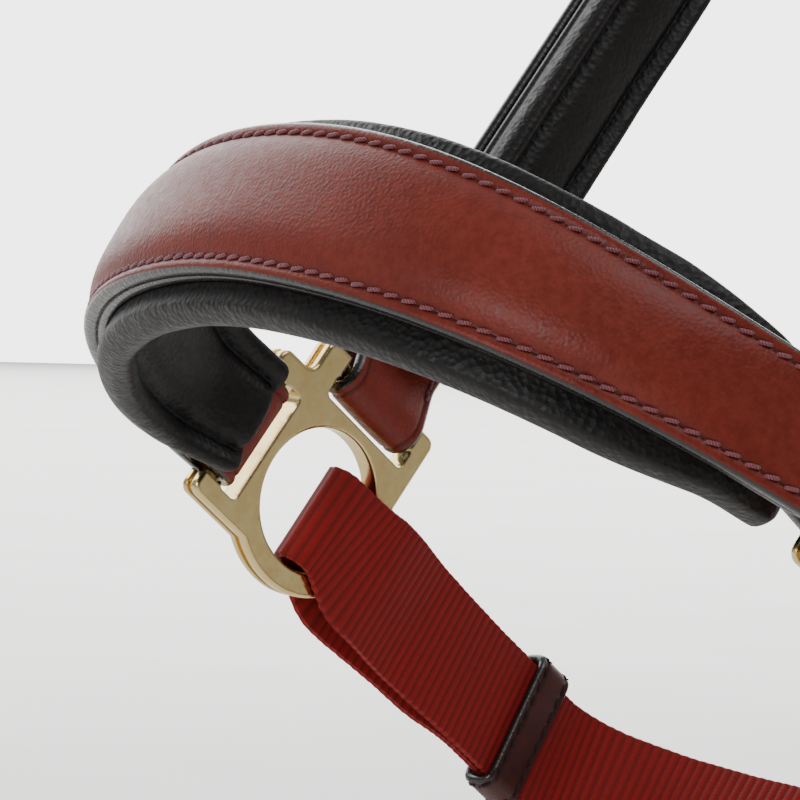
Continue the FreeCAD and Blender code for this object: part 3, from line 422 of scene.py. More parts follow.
def lining_section(top, depth, overhang=0.0, pitch=3.14):
    """A padded lining: a roll along each edge and a softer one between, with the pull of the seams and painted shade
    in their creases.
    """
    def section(station):
        half = station.half + overhang * smooth((station.end + 12) / 45)
        shape = [(half * a, -depth * b) for a, b in ROLLS]
        shape += [(half * 0.955, -depth * 0.10), (half * 0.88, 0.0),
                  (-half * 0.88, 0.0), (-half * 0.955, -depth * 0.10)]
        outline = []
        lift = top(station)
        pull = 0.5 + 0.5 * math.cos(2 * math.pi * station.distance / pitch)
        for a, b in round_outline(shape):
            at = station.point * 0.085 + Vector((a, b, 0)) * 0.05
            soft = noise.noise(at) * 0.30 + noise.noise(at * 4.3) * 0.10
            crease = math.exp(-((abs(a) / half - 0.60) / 0.05) ** 2)
            press = -0.20 * pull * crease if b > -depth * 0.3 else 0.22 * pull * crease
            amount = smooth(-b / depth * 3)
            # The fourth value, crease * amount, weights the painted shade in the seam creases.
            outline.append((a * (1 + 0.012 * soft), lift + b + (soft + press) * amount, GRAIN, crease * amount))
        return outline
    return section


# ------------------------------------------------------------------ stitching
def stitch_points(centre, along, out, size):
    """One stitch of twisted thread: a low arch whose ends dive into their holes."""
    side = out.cross(along)
    reach, radius = size.stitch_pitch * 0.84, size.thread / 2
    rings = []
    for k in range(9):
        x = -1 + 2 * k / 8
        height = 0.40 * (1 - x ** 4) - 0.22
        r = radius * math.sqrt(max(0.06, 1 - abs(x) ** 7))
        middle = centre + along * (x * reach / 2) + out * height
        rings.append([middle + out * (r * math.sin(t)) + side * (r * math.cos(t))
                      for t in (2 * math.pi * j / 8 for j in range(8))])
    return rings


def stitches(head, name, rows, thread, hole, slant=17.0):
    """Rows of stitches in one mesh.  A row is (route, start, end, across, outwards)."""
    size = head.size
    points, faces, zones, uvs = [], [], [], []
    for route, start, end, across, outwards in rows:
        count = max(1, round((end - start) / size.stitch_pitch))
        pitch = (end - start) / count
        for k in range(count):
            station = route.station(start + pitch * (k + 0.5))
            a, b = across(station), outwards(station)
            centre = station.point + station.across * a + station.out * b
            turn = math.radians(slant + 3 * noise.noise(centre * 0.7))
            along = station.tangent * math.cos(turn) + station.across * math.sin(turn)
            base = len(points)
            rings = stitch_points(centre, along, station.out, size)
            points += [p for ring in rings for p in ring]
            for i in range(8):
                for j in range(8):
                    after = (j + 1) % 8
                    here, there = base + i * 8, base + i * 8 + 8
                    faces.append((here + j, here + after, there + after, there + j))
                    zones.append(0)
                    uvs += [(i, j), (i, j + 1), (i + 1, j + 1), (i + 1, j)]
            for ring in (0, 8):
                faces.append(tuple(base + ring * 8 + j for j in range(8)))
                zones.append(0)
                uvs += [(ring, 0)] * 8
            base = len(points)
            # A shallow cone at each hole, in the hole material: painted shade where the thread goes in.
            at = centre - along * (size.stitch_pitch * 0.5)
            points += [at + station.tangent * (0.46 * math.cos(t)) + station.across * (0.38 * math.sin(t))
                       + station.out * 0.03 for t in (2 * math.pi * j / 10 for j in range(10))]
            points.append(at - station.out * 0.22)
            for j in range(10):
                faces.append((base + j, base + (j + 1) % 10, base + 10))
                zones.append(1)
                uvs += [(0, 0)] * 3
    return build_object(head, name, points, faces, zones, [thread, hole], uvs)


def seam_rows(head, route, start, end, outwards, margin=None):
    """A stitch row along each edge of a strap."""
    margin = margin or head.size.stitch_margin
    return [(route, start, end, lambda s, k=k: k * (s.half - margin), outwards) for k in (-1, 1)]


def place(obj, body, slot, *nodes):
    """Rides on a body and stands for those nodes; slot is not used."""
    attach(obj, body)
    if nodes:
        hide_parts(*nodes)
    return obj


def place_pair(right, base, body, slot, *nodes, bodies=None):
    """Places a right-side piece and its mirrored left one."""
    left = mirror_copy(right, base + "_left")
    for obj, side in ((right, "right"), (left, "left")):
        place(obj, f"{bodies}_{side}" if bodies else body, slot, *[f"{n}_{side}" for n in nodes])
    return right, left


def sew(head, name, rows, pair=False):
    """Stitches those rows and lets the thread ride on the headcollar; with pair, on both sides."""
    thread = stitches(head, name + "_right" if pair else name, rows, finish("thread"), finish("hole"))
    if pair:
        place_pair(thread, name, "headcollar", "burgundy_leather")
    else:
        place(thread, "headcollar", "burgundy_leather")


def cut_holes(obj, cutter_points, head, hole_shade_material):
    """Punches round or square holes: each cutter is (centre, axis, outline points)."""
    work = bmesh.new()
    for centre, axis, outline in cutter_points:
        low = [work.verts.new(head.world(centre + p - axis * 8)) for p in outline]
        high = [work.verts.new(head.world(centre + p + axis * 8)) for p in outline]
        work.faces.new(low)
        work.faces.new(high)
        for k in range(len(outline)):
            after = (k + 1) % len(outline)
            work.faces.new((low[k], low[after], high[after], high[k]))
    bmesh.ops.recalc_face_normals(work, faces=work.faces)
    mesh = bpy.data.meshes.new(obj.name + "_punch")
    work.to_mesh(mesh)
    work.free()
    # The cut walls take the hole material: painted shade inside the holes and slots.
    mesh.materials.append(hole_shade_material)
    punch = bpy.data.objects.new(obj.name + "_punch", mesh)
    bpy.context.scene.collection.objects.link(punch)
    cut = obj.modifiers.new("punch", "BOOLEAN")
    cut.object = punch
    cut.solver = "EXACT"
    cut.material_mode = "TRANSFER"
    bpy.context.view_layer.update()
    result = bpy.data.meshes.new_from_object(obj.evaluated_get(bpy.context.evaluated_depsgraph_get()))
    obj.modifiers.clear()
    obj.data = result
    bpy.data.objects.remove(punch)


def strap(head, name, route, spacing, section, nodes=(), slot="burgundy_leather", finishes=None, tip=0.0,
          round_end=0.0, pair=False, bodies=None):
    """Sweeps a section along a route, and lets the piece stand for those nodes on their body.

    With pair, the route is the right side's and a mirrored piece is made as well; the name, nodes
    and bodies are then given without their side.
    """
    label = name + "_right" if pair else name
    piece = sweep(head, label, stations_along(route, spacing, tip), section, finishes or leather_finishes(),
                  closed=route.closed, round_end=round_end)
    if pair:
        pieces = place_pair(piece, name, "headcollar", slot, *nodes, bodies=bodies)
    else:
        pieces = [place(piece, "headcollar", slot, *nodes)]


def ring_route(half_a, half_b, corner, centre, first, second, across, overlap=0.0):
    """A rounded rectangle's line, starting in the middle of one long side; overlap laps its end."""
    points = []
    for sign_a, sign_b, start in ((1, -1, -90), (1, 1, 0), (-1, 1, 90), (-1, -1, 180)):
        centre_a, centre_b = sign_a * (half_a - corner), sign_b * (half_b - corner)
        points += arc(centre_a, centre_b, corner, corner, start, start + 90, 7)
    points = [(0, -half_b)] + points
    if overlap:
        lap = [(half_a * 0.25 * k, -half_b - overlap * smooth(k / 1.5)) for k in (0.2, 0.7, 1.2, 1.8)]
        points = points + [(-half_a * 0.4, -half_b)] + lap
    line = [centre + first * a + second * b for a, b in points]
    return line, across


# ------------------------------------------------------------------ materials
def add_node(tree, kind, settings=None, **links):
    """Adds a node; settings go to its fields or its sockets, links to sockets by name or _index."""
    node = tree.nodes.new(kind)
    for key, value in (settings or {}).items():
        if isinstance(key, int) or key in node.inputs:
            node.inputs[key].default_value = value
        else:
            setattr(node, key, value)
    for key, socket in links.items():
        place_at = int(key[1:]) if key[0] == "_" else key.replace("_", " ")
        tree.links.new(socket, node.inputs[place_at])
    return node


def new_material(name):
    material = bpy.data.materials.new(name)
    material.use_nodes = True
    tree = material.node_tree
    tree.nodes.clear()
    output = tree.nodes.new("ShaderNodeOutputMaterial")
    shader = tree.nodes.new("ShaderNodeBsdfPrincipled")
    tree.links.new(shader.outputs[0], output.inputs["Surface"])
    return material, tree, shader


def each(millimetres):
    """Texture scale, in object coordinates, of a pattern that repeats each so many millimetres."""
    return 1 / (millimetres * MM)


def noise_of(tree, spot, scale, detail, roughness=0.5):
    """The value of a noise texture at that place."""
    return add_node(tree, "ShaderNodeTexNoise", {"Scale": scale, "Detail": detail, "Roughness": roughness},
                    Vector=spot).outputs["Fac"]


def ramp(tree, factor, stops):
    """A colour ramp through (position, hex colour or grey value) stops."""
    node = add_node(tree, "ShaderNodeValToRGB", Fac=factor)
    elements = node.color_ramp.elements
    while len(elements) < len(stops):
        elements.new(0.5)
    for element, (position, value) in zip(elements, stops):
        element.position = position
        element.color = linear(value) if isinstance(value, str) else (value, value, value, 1)
    return node.outputs["Color"]


def mixed(tree, amount, first, second, blend="MIX"):
    node = add_node(tree, "ShaderNodeMix", {"data_type": "RGBA", "blend_type": blend})
    for index, value in ((0, amount), (6, first), (7, second)):
        if isinstance(value, (float, tuple)):
            node.inputs[index].default_value = value
        else:
            tree.links.new(value, node.inputs[index])
    return node.outputs[2]


def bump(tree, height, depth_mm, strength=1.0, under=None):
    links = {"Height": height}
    if under:
        links["Normal"] = under
    node = add_node(tree, "ShaderNodeBump", {"Strength": strength, "Distance": depth_mm * MM}, **links)
    return node.outputs[0]


def leather_material(name, base, light, dark, grain_mm, grain_depth, rough, gloss, shine):
    """Vegetable-tanned, drum-dyed leather: fine cell grain, pores, faint growth creases, and painted shade towards
    the dark colour where the groove attribute marks seams and creases.
    """
    material, tree, shader = new_material(name)
    spot = add_node(tree, "ShaderNodeTexCoord").outputs["Object"]
    clouds = noise_of(tree, spot, each(16), 4.0, 0.6)
    flecks = noise_of(tree, spot, each(1.6), 3.0, 0.7)
    cells = add_node(tree, "ShaderNodeTexVoronoi",
                     {"feature": "F1", "Scale": each(grain_mm), "Randomness": 1.0}, Vector=spot)
    pores = add_node(tree, "ShaderNodeTexVoronoi", {"feature": "F1", "Scale": each(grain_mm * 2.3)}, Vector=spot)
    stretch = add_node(tree, "ShaderNodeMapping", {"Scale": (1.0, 0.35, 1.6), "Rotation": (0.5, 0.2, 0.9)},
                       Vector=spot)
    creases = add_node(tree, "ShaderNodeTexNoise",
                       {"Scale": each(5.5), "Detail": 6.0, "Roughness": 0.62, "Distortion": 0.6},
                       Vector=stretch.outputs[0])
    groove = add_node(tree, "ShaderNodeAttribute", {"attribute_name": "groove"}).outputs["Fac"]
    cloud_tone = ramp(tree, clouds, [(0.30, 0.0), (0.70, 1.0)])
    tone = mixed(tree, cloud_tone, linear(base), linear(light))
    fleck_tone = ramp(tree, flecks, [(0.38, 0.82), (0.62, 1.0)])
    tone = mixed(tree, 1.0, tone, fleck_tone, "MULTIPLY")
    pore_tone = ramp(tree, pores.outputs["Distance"], [(0.03, 0.55), (0.16, 1.0)])
    tone = mixed(tree, 0.55, tone, pore_tone, "MULTIPLY")
    # Painted shade: the groove attribute darkens the tone towards the dark colour in the stitch grooves and lining
    # creases.
    deep = add_node(tree, "ShaderNodeMath", {"operation": "MULTIPLY", 1: 0.8}, _0=groove).outputs[0]
    tone = mixed(tree, deep, tone, linear(dark))
    tree.links.new(tone, shader.inputs["Base Color"])
    dull = ramp(tree, flecks, [(0.3, rough - 0.06), (0.7, rough + 0.10)])
    tree.links.new(dull, shader.inputs["Roughness"])
    shader.inputs["Specular IOR Level"].default_value = shine
    shader.inputs["Coat Weight"].default_value = gloss
    shader.inputs["Coat Roughness"].default_value = 0.34
    surface = bump(tree, creases.outputs["Fac"], 0.10, 0.55)
    surface = bump(tree, cells.outputs["Distance"], grain_depth, 0.8, surface)
    surface = bump(tree, pore_tone, grain_depth * 0.8, 0.6, surface)
    tree.links.new(surface, shader.inputs["Normal"])
    return material


def edge_paint_material(colours):
    """Edge paint rolled on in coats: glossy black, with small runs across the strap's edge."""
    material, tree, shader = new_material("rolled_edge_paint")
    spot = add_node(tree, "ShaderNodeTexCoord")
    runs = add_node(tree, "ShaderNodeMapping", {"Scale": (1 / 1.1, 0.12, 1.0)}, Vector=spot.outputs["UV"])
    lumps = noise_of(tree, runs.outputs[0], 1.0, 3.0)
    fine = noise_of(tree, spot.outputs["Object"], each(0.5), 2.0)
    shade = ramp(tree, lumps, [(0.3, colours.edge), (0.8, "#1b1614")])
    tree.links.new(shade, shader.inputs["Base Color"])
    dull = ramp(tree, fine, [(0.3, 0.24), (0.7, 0.42)])
    tree.links.new(dull, shader.inputs["Roughness"])
    shader.inputs["Coat Weight"].default_value = 0.35
    shader.inputs["Coat Roughness"].default_value = 0.2
    surface = bump(tree, lumps, 0.30, 0.7)
    tree.links.new(bump(tree, fine, 0.04, 0.5, surface), shader.inputs["Normal"])
    return material


def flesh_material(colours):
    """Dyed flesh side: matt, with short fibres lying along the strap."""
    material, tree, shader = new_material("dyed_flesh_side")
    spot = add_node(tree, "ShaderNodeTexCoord")
    combed = add_node(tree, "ShaderNodeMapping", {"Scale": (1 / 2.4, 1 / 0.35, 1.0)}, Vector=spot.outputs["UV"])
    fibres = noise_of(tree, combed.outputs[0], 1.0, 5.0, 0.7)
    shade = ramp(tree, fibres, [(0.3, colours.leather_deep_and_seam_shade), (0.7, colours.flesh)])
    tree.links.new(shade, shader.inputs["Base Color"])
    shader.inputs["Roughness"].default_value = 0.85
    shader.inputs["Sheen Weight"].default_value = 0.3
    tree.links.new(bump(tree, fibres, 0.12, 0.8), shader.inputs["Normal"])
    return material


def thread_material(colours):
    """Bonded polyester thread, three plies twisted: a ply ridge each third of the way round, with painted shade in
    the valleys between plies and painted light on the ridges.
    """
    material, tree, shader = new_material("twisted_bonded_thread")
    spot = add_node(tree, "ShaderNodeTexCoord").outputs["UV"]
    lean = add_node(tree, "ShaderNodeMapping", {"Scale": (0.55, 0.375, 1.0), "Rotation": (0, 0, 0.6)}, Vector=spot)
    plies = add_node(tree, "ShaderNodeTexWave", {"wave_type": "BANDS", "Scale": 0.5, "Distortion": 0.4},
                     Vector=lean.outputs[0])
    # Painted shade and light: darker in the ply valleys, lighter on the ply ridges, following the same bands as the
    # bump.
    shade = ramp(tree, plies.outputs["Fac"], [(0.0, "#6a2c36"), (0.55, colours.thread), (1.0, "#98535e")])
    tree.links.new(shade, shader.inputs["Base Color"])
    shader.inputs["Roughness"].default_value = 0.5
    shader.inputs["Sheen Weight"].default_value = 0.25
    tree.links.new(bump(tree, plies.outputs["Fac"], 0.12, 0.9), shader.inputs["Normal"])
    return material


def hole_shade_material():
    """Awl holes and punched openings: crushed leather, painted nearly black as the shade inside them."""
    material, tree, shader = new_material("awl_hole_shade")
    spot = add_node(tree, "ShaderNodeTexCoord").outputs["Object"]
    fibre = noise_of(tree, spot, each(0.4), 2.0)
    # Painted shade: nearly black inside the holes.
    shade = ramp(tree, fibre, [(0.3, "#0d0504"), (0.8, "#2c0e0b")])
    tree.links.new(shade, shader.inputs["Base Color"])
    shader.inputs["Roughness"].default_value = 0.9
    return material


def webbing_material(colours):
    """Ribbed polypropylene webbing: glossy floats over each rib, with painted shade between the ribs and between the
    warp ends.
    """
    material, tree, shader = new_material("ribbed_woven_webbing")
    spot = add_node(tree, "ShaderNodeTexCoord").outputs["UV"]
    warp_mm = 0.62
    warp = add_node(tree, "ShaderNodeMapping", {"Scale": (0.16, 1 / warp_mm, 1.0)}, Vector=spot)
    ends = add_node(tree, "ShaderNodeTexWave",
                    {"wave_type": "BANDS", "bands_direction": "Y", "Scale": 0.314, "Distortion": 0.5,
                     "Detail": 1.0},
                    Vector=warp.outputs[0])
    strands = add_node(tree, "ShaderNodeMapping", {"Scale": (1 / 0.9, 1 / 0.16, 1.0)}, Vector=spot)
    hairs = noise_of(tree, strands.outputs[0], 1.0, 3.0, 0.7)
    worn = noise_of(tree, spot, 1 / 9, 2.0)
    groove = add_node(tree, "ShaderNodeAttribute", {"attribute_name": "groove"}).outputs["Fac"]
    bright = ramp(tree, hairs, [(0.3, "#7a0d0a"), (0.55, colours.webbing), (0.8, "#a81a15")])
    tone = mixed(tree, ramp(tree, worn, [(0.35, 0.0), (0.75, 0.35)]), bright, linear("#7e120f"))
    # Painted shade: darker between the warp ends and, by the groove attribute, between the ribs.
    shade_between_ends = ramp(tree, ends.outputs["Fac"], [(0.0, 0.12), (0.5, 0.0)])
    tone = mixed(tree, shade_between_ends, tone, linear(colours.webbing_weave_shade))
    tone = mixed(tree, groove, tone, linear(colours.webbing_weave_shade))
    tree.links.new(tone, shader.inputs["Base Color"])
    shader.inputs["Roughness"].default_value = 0.66
    shader.inputs["Specular IOR Level"].default_value = 0.25
    shader.inputs["Sheen Weight"].default_value = 0.06
    shader.inputs["Sheen Roughness"].default_value = 0.5
    surface = bump(tree, ends.outputs["Fac"], 0.03, 0.5)
    tree.links.new(bump(tree, hairs, 0.05, 0.7, surface), shader.inputs["Normal"])
    return material


def brass_material(colours):
    """Sand-cast brass, tumbled and polished: pale gold, with a soft ripple and fine polishing lines."""
    material, tree, shader = new_material("polished_cast_brass")
    spot = add_node(tree, "ShaderNodeTexCoord").outputs["Object"]
    ripple = noise_of(tree, spot, each(7), 2.0)
    smears = noise_of(tree, spot, each(3.2), 5.0, 0.65)
    lines = add_node(tree, "ShaderNodeMapping", {"Scale": (each(0.3), each(4.0), each(0.3))}, Vector=spot)
    scratches = noise_of(tree, lines.outputs[0], 1.0, 3.0)
    tone = ramp(tree, smears, [(0.22, colours.brass_deep), (0.34, colours.brass), (0.8, "#e3cf98")])
    tree.links.new(tone, shader.inputs["Base Color"])
    shader.inputs["Metallic"].default_value = 1.0
    dull = ramp(tree, smears, [(0.3, 0.24), (0.6, 0.13)])
    tree.links.new(dull, shader.inputs["Roughness"])
    rounded = add_node(tree, "ShaderNodeBevel", {"samples": 6, "Radius": 0.55 * MM}).outputs[0]
    surface = bump(tree, ripple, 0.10, 0.5, rounded)
    tree.links.new(bump(tree, scratches, 0.006, 0.5, surface), shader.inputs["Normal"])
    return material


def floor_material(colours):
    """Matt painted studio floor, faintly mottled."""
    material, tree, shader = new_material("matt_studio_floor")
    spot = add_node(tree, "ShaderNodeTexCoord").outputs["Object"]
    mottle = noise_of(tree, spot, 3.0, 3.0)
    shade = ramp(tree, mottle, [(0.3, "#eeedea"), (0.7, colours.floor)])
    tree.links.new(shade, shader.inputs["Base Color"])
    shader.inputs["Roughness"].default_value = 0.9
    return material


def finish(name):
    """The scene's material of that kind, made the first time it is asked for."""
    colours = bpy.context.scene.headcollar_colours
    makers = {
        # The fourth colour of each leather is painted shade for its stitch grooves and, on the lining, its seam
        # creases.
        "leather": lambda: leather_material("drum_dyed_bridle_leather", colours.leather, colours.leather_light,
                                            colours.leather_deep_and_seam_shade, 0.62, 0.075, 0.40, 0.03, 0.24),
        "keeper": lambda: leather_material("dark_strap_leather", colours.keeper, "#512620", "#1d0a08",
                                           0.60, 0.04, 0.50, 0.03, 0.30),
        "lining": lambda: leather_material("padded_nappa_lining", colours.lining, "#1c1918", "#080707",
                                           1.05, 0.17, 0.46, 0.0, 0.30),
        "edge": lambda: edge_paint_material(colours),
        "flesh": lambda: flesh_material(colours),
        "thread": lambda: thread_material(colours),
        "hole": hole_shade_material,
        "webbing": lambda: webbing_material(colours),
        "brass": lambda: brass_material(colours),
        "floor": lambda: floor_material(colours),
    }
    key = "headcollar_" + name
    if key not in bpy.context.scene:
        bpy.context.scene[key] = makers[name]()
    return bpy.context.scene[key]


def leather_finishes(grain="leather"):
    """Materials of a strap by zone: grain side, painted edge, flesh side, holes."""
    return [finish(grain), finish("edge"), finish("flesh"), finish("hole")]


def lining_finishes():
    return [finish("lining"), finish("edge")]


# ------------------------------------------------------------------ noseband
def fold_line(head, leg, sink=0.0, rise_end=9.5):
    """A strap end turned round a bar at (0, 0): (along, outwards) from its tip to the top of the bar."""
    middle = head.fold_middle
    target = Vector((rise_end, head.fold_inner - head.size.leather / 2 - sink))
    leave = math.atan2(target.y, target.x) - math.acos(middle / target.length)
    line = [(x, target.y) for x in steps(leg, rise_end, max(2, int((leg - rise_end) / 1.5) + 2))]
    start = (middle * math.cos(leave), middle * math.sin(leave))
    line += [(target.x + (start[0] - target.x) * t, target.y + (start[1] - target.y) * t)
             for t in (0.25, 0.5, 0.75)]
    turned = math.degrees(leave)
    return line + arc(0, 0, middle, middle, turned, -270, 24)


def noseband_poles(head):
    size = head.size
    run = Vector((size.nose_corner_in, -size.nose_corner_depth, 0)).normalized()
    bar = head.side(size.bar_centre, 0) + run.cross(AXIS_Z) * head.fold_middle
    poles = [bar, bar + Vector((size.nose_corner_in, -size.nose_corner_depth, 0)),
             Vector((-size.nose_flat, bar.y - size.nose_depth, bar.z))]
    return poles + [mirrored(p) for p in reversed(poles)], run


def noseband_curve(head):
    """Points of the noseband's middle line from the right bar to the left one."""
    poles, run = noseband_poles(head)
    points = []
    for t in steps(0.0, 1.0, 300):
        arch = 1 - (2 * t - 1) ** 2
        point = bezier(poles, t)
        point.z = poles[0].z * (1 - arch) ** 2 + head.size.nose_lift * arch ** 2
        points.append(point)
    return points, run


def noseband_route(head, with_folds):
    """The noseband's line; with_folds adds the ends turned round the fittings' bars."""
    size = head.size
    points, run = noseband_curve(head)
    across = [AXIS_Z.copy() for _ in points]
    half = []
    gaps = [0.0]
    for p, q in zip(points, points[1:]):
        gaps.append(gaps[-1] + (q - p).length)
    for distance in gaps:
        ramp = smooth((min(distance, gaps[-1] - distance) - 6.6) / size.nose_taper)
        half.append(head.strap_half + (size.nose_width / 2 - head.strap_half) * ramp)
    if with_folds:
        fold_run = (run - head.v * run.dot(head.v)).normalized()
        fold_out = fold_run.cross(head.v)
        bar = head.side(size.bar_centre, 0)
        fold = [bar + fold_run * a + fold_out * b for a, b in fold_line(head, 11.0, 0.5)]
        points = fold[:-1] + points[3:-3] + [mirrored(p) for p in reversed(fold[:-1])]
        sides = [head.v.copy() for _ in fold[:-1]]
        across = sides + across[3:-3] + [mirrored(s) for s in sides]
        ends = [head.strap_half] * len(sides)
        half = ends + half[3:-3] + ends
    return Route(points, across, half, soften=4)


def noseband_section(head):
    """Flat edges outside the seams, a padded rise between them, and the backing under a painted edge."""
    size = head.size
    outer, inner = size.leather / 2, -size.leather / 2
    back = inner - 2 * size.layer_gap - size.backing

    def section(station):
        half = station.half
        fold = smooth((station.end - 24) / 8)
        rise = size.nose_rise * smooth((station.end - 32) / 32)
        row = half - size.stitch_margin
        under = inner + (back - inner) * fold
        pull = 0.5 + 0.5 * math.cos(2 * math.pi * station.distance / size.stitch_pitch)
        points = [(a, under, FLESH, 0.0) for a in np.linspace(-half + 1.0, half - 1.0, 6)]
        lower = [(half - 0.45, under + 0.02), (half - 0.30, under + 0.35 * fold), (half - 0.34, inner - 0.30 * fold),
                 (half - 0.62, inner - 0.02), (half - 0.20, inner + 0.22), (half - 0.03, inner + 0.75),
                 (half, 0.0), (half - 0.03, outer - 0.85), (half - 0.16, outer - 0.42), (half - 0.42, outer - 0.12)]
        points += [(a, b, EDGE, 0.0) for a, b in lower]
        core = row - 0.35
        across = [row + d for d in (1.45, 1.0, 0.62, 0.36, 0.18, 0.0, -0.18, -0.36, -0.62, -1.0)]
        across += [core * s for s in (0.86, 0.79, 0.71, 0.62, 0.50, 0.36, 0.20)]
        top = []
        # The fourth value, 0.75 * dip, weights the painted shade in the stitch groove.
        for a in across:
            dip = math.exp(-((a - row) / 0.40) ** 2)
            dome = rise * (1 - min(1.0, abs(a) / core) ** 3.4)
            lip = 0.10 * math.exp(-((a - row - 1.1) / 0.5) ** 2)
            top.append((a, outer + dome + lip - (0.20 + 0.13 * pull) * dip, GRAIN, 0.75 * dip))
        swell = 0.10 * noise.noise(station.point * 0.045)
        top = [(a, b + swell * smooth((row - a) / 4), zone, groove) for a, b, zone, groove in top]
        middle = [(0.0, outer + rise + swell, GRAIN, 0.0)]
        points += top + middle + [(-a, b, zone, groove) for a, b, zone, groove in reversed(top)]
        points += [(-a, b, EDGE, 0.0) for a, b in reversed(lower)]
        return points
    return section


class HEADCOLLAR_OT_noseband(Operator):
    """Builds the noseband: raised stitched leather folded round the fittings, on a padded lining"""

    bl_idname = "headcollar.noseband"
    bl_label = "Noseband"

    def execute(self, context):
        head = Head(context)
        size = head.size
        route = noseband_route(head, True)
        nodes = ("noseband_outer_leather", "noseband_raised_core", "noseband_backing",
                 "noseband_end_fold_left", "noseband_end_fold_right")
        strap(head, "noseband_leather", route, size.stitch_pitch / 5, noseband_section(head), nodes,
              tip=1.0, round_end=0.6)
        seams = seam_rows(head, route, 27.0, route.total - 27.0, lambda s: size.leather / 2 - 0.12)
        sew(head, "noseband_stitching", seams)

        line = noseband_route(head, False)
        keep = (line.at > 6.0) & (line.at < line.total - 6.0)
        inner = Route([Vector(p) for p in line.line[keep]], AXIS_Z, list(line.halves[keep]))
        outer_face = -size.leather / 2 - 3 * size.layer_gap - size.backing

        def top(station):
            return outer_face - 5.5 * (1 - smooth(station.end / 15))

        section = lining_section(top, size.lining_depth, size.lining_overhang, size.stitch_pitch)
        strap(head, "noseband_lining", inner, size.stitch_pitch / 4, section, ["noseband_padded_lining"],
              "black_padded_leather", lining_finishes(), tip=3.0, round_end=2.6)
        return {"FINISHED"}


# ------------------------------------------------------------------ cheekpieces
class HEADCOLLAR_OT_cheekpieces(Operator):
    """Builds the cheekpieces: straps folded round both fittings, with a padded lining inside"""

    bl_idname = "headcollar.cheekpieces"
    bl_label = "Cheekpieces"

    def execute(self, context):
        head = Head(context)
        size = head.size
        low, high = size.bar_centre, size.throat_height - size.bar_centre
        end = fold_line(head, 26.0)
        line = [(low + a, b) for a, b in end] + [(high - a, b) for a, b in reversed(end)]
        route = Route([head.side(0, a, b) for a, b in line], head.u * -1, head.strap_half, soften=6)
        section = strap_section(-size.leather / 2, size.leather / 2, size.stitch_margin, crown=0.25)
        strap(head, "cheekpiece_leather", route, 1.1, section, ["cheekpiece_outer_leather", "cheekpiece_filler"],
              tip=0.8, round_end=0.5, pair=True)
        seams = []
        for start, end in ((44.0, route.total - 44.0), (2.0, 20.0), (route.total - 20.0, route.total - 2.0)):
            seams += seam_rows(head, route, start, end, lambda s: size.leather / 2 - 0.02)
        sew(head, "cheekpiece_stitching", seams, pair=True)

        top = head.fold_inner - size.leather - size.layer_gap
        inset = 11.0
        middle = Route([head.side(0, v) for v in steps(low + inset, high - inset, 60)], head.u * -1,
                       head.strap_half + 0.4)
        section = lining_section(lambda s: top, size.lining_depth, 0.0, size.stitch_pitch)
        strap(head, "cheekpiece_lining", middle, size.stitch_pitch / 3, section, ["cheekpiece_padded_lining"],
              "black_padded_leather", lining_finishes(), tip=3.0, round_end=2.6, pair=True)
        filler = Route([head.side(0, v) for v in steps(low + 27.2, high - 27.2, 60)], head.u * -1,
                       head.strap_half - 0.5)
        between = strap_section(top + 0.1, head.fold_inner - 0.05, None, 0.0)
        strap(head, "cheekpiece_core", filler, 4.0, between, (), "inner_leather", [finish("edge")] * 4, pair=True)
        return {"FINISHED"}


# ------------------------------------------------------------------ crown
def crown_route(head, start):
    """The crown's reference line, from height start on the right over the poll to the left."""
    size = head.size
    up = Vector((0, head.v.y, head.v.z))

    def reach(height):
        return size.half_span - head.v.x * height

    span = reach(size.crown_spring)
    points = [Vector((-reach(h), 0, 0)) + up * h for h in steps(start, size.crown_spring, 12)]
    for k in range(1, 90):
        turn = math.pi * k / 90
        height = size.crown_spring + size.crown_rise * math.sin(turn)
        points.append(Vector((-span * math.cos(turn), 0, 0)) + up * height)
    points += [mirrored(p) for p in reversed(points[:12])]
    across = []
    for p in points:
        across.append(Vector((head.u.x * -p.x / span, head.u.y, head.u.z)) * -1)
    gaps = [0.0]
    for p, q in zip(points, points[1:]):
        gaps.append(gaps[-1] + (q - p).length)
    grown = start - size.crown_start
    narrow = head.strap_half + 0.8
    from_end = [min(d, gaps[-1] - d) + grown for d in gaps]
    half = [narrow + (size.crown_width / 2 - narrow) * smooth((d - 8) / 90) for d in from_end]
    return Route(points, across, half, soften=3)


class HEADCOLLAR_OT_crown(Operator):
    """Builds the crown: stitched outer leather, a core, and a padded lining over the poll"""

    bl_idname = "headcollar.crown"
    bl_label = "Crown"

    def execute(self, context):
        head = Head(context)
        size = head.size
        inner = 1.45
        outer = inner + 3.0 + 2 * size.layer_gap
        route = crown_route(head, size.crown_start)
        section = strap_section(outer, outer + size.leather, size.stitch_margin, crown=0.5)
        strap(head, "crown_leather", route, 1.2, section, ["crown_outer_leather"], tip=1.2, round_end=1.0)
        seams = seam_rows(head, route, 3.0, route.total - 3.0, lambda s: outer + size.leather)
        sew(head, "crown_stitching", seams)
        inside = crown_route(head, size.crown_start + 28.0)
        section = strap_section(inner + 0.02, outer - size.layer_gap, None, 0.0)
        strap(head, "crown_core", inside, 3.0, section, ["crown_core_leather"], "inner_leather",
              [finish("edge")] * 4)
        under = crown_route(head, size.crown_start + 1.5)
        top = inner - size.layer_gap
        section = lining_section(lambda s: top, size.lining_depth, 2.0, size.stitch_pitch)
        strap(head, "crown_lining", under, 1.1, section, ["crown_padded_lining"], "black_padded_leather",
              lining_finishes(), tip=3.0, round_end=2.6)
        return {"FINISHED"}


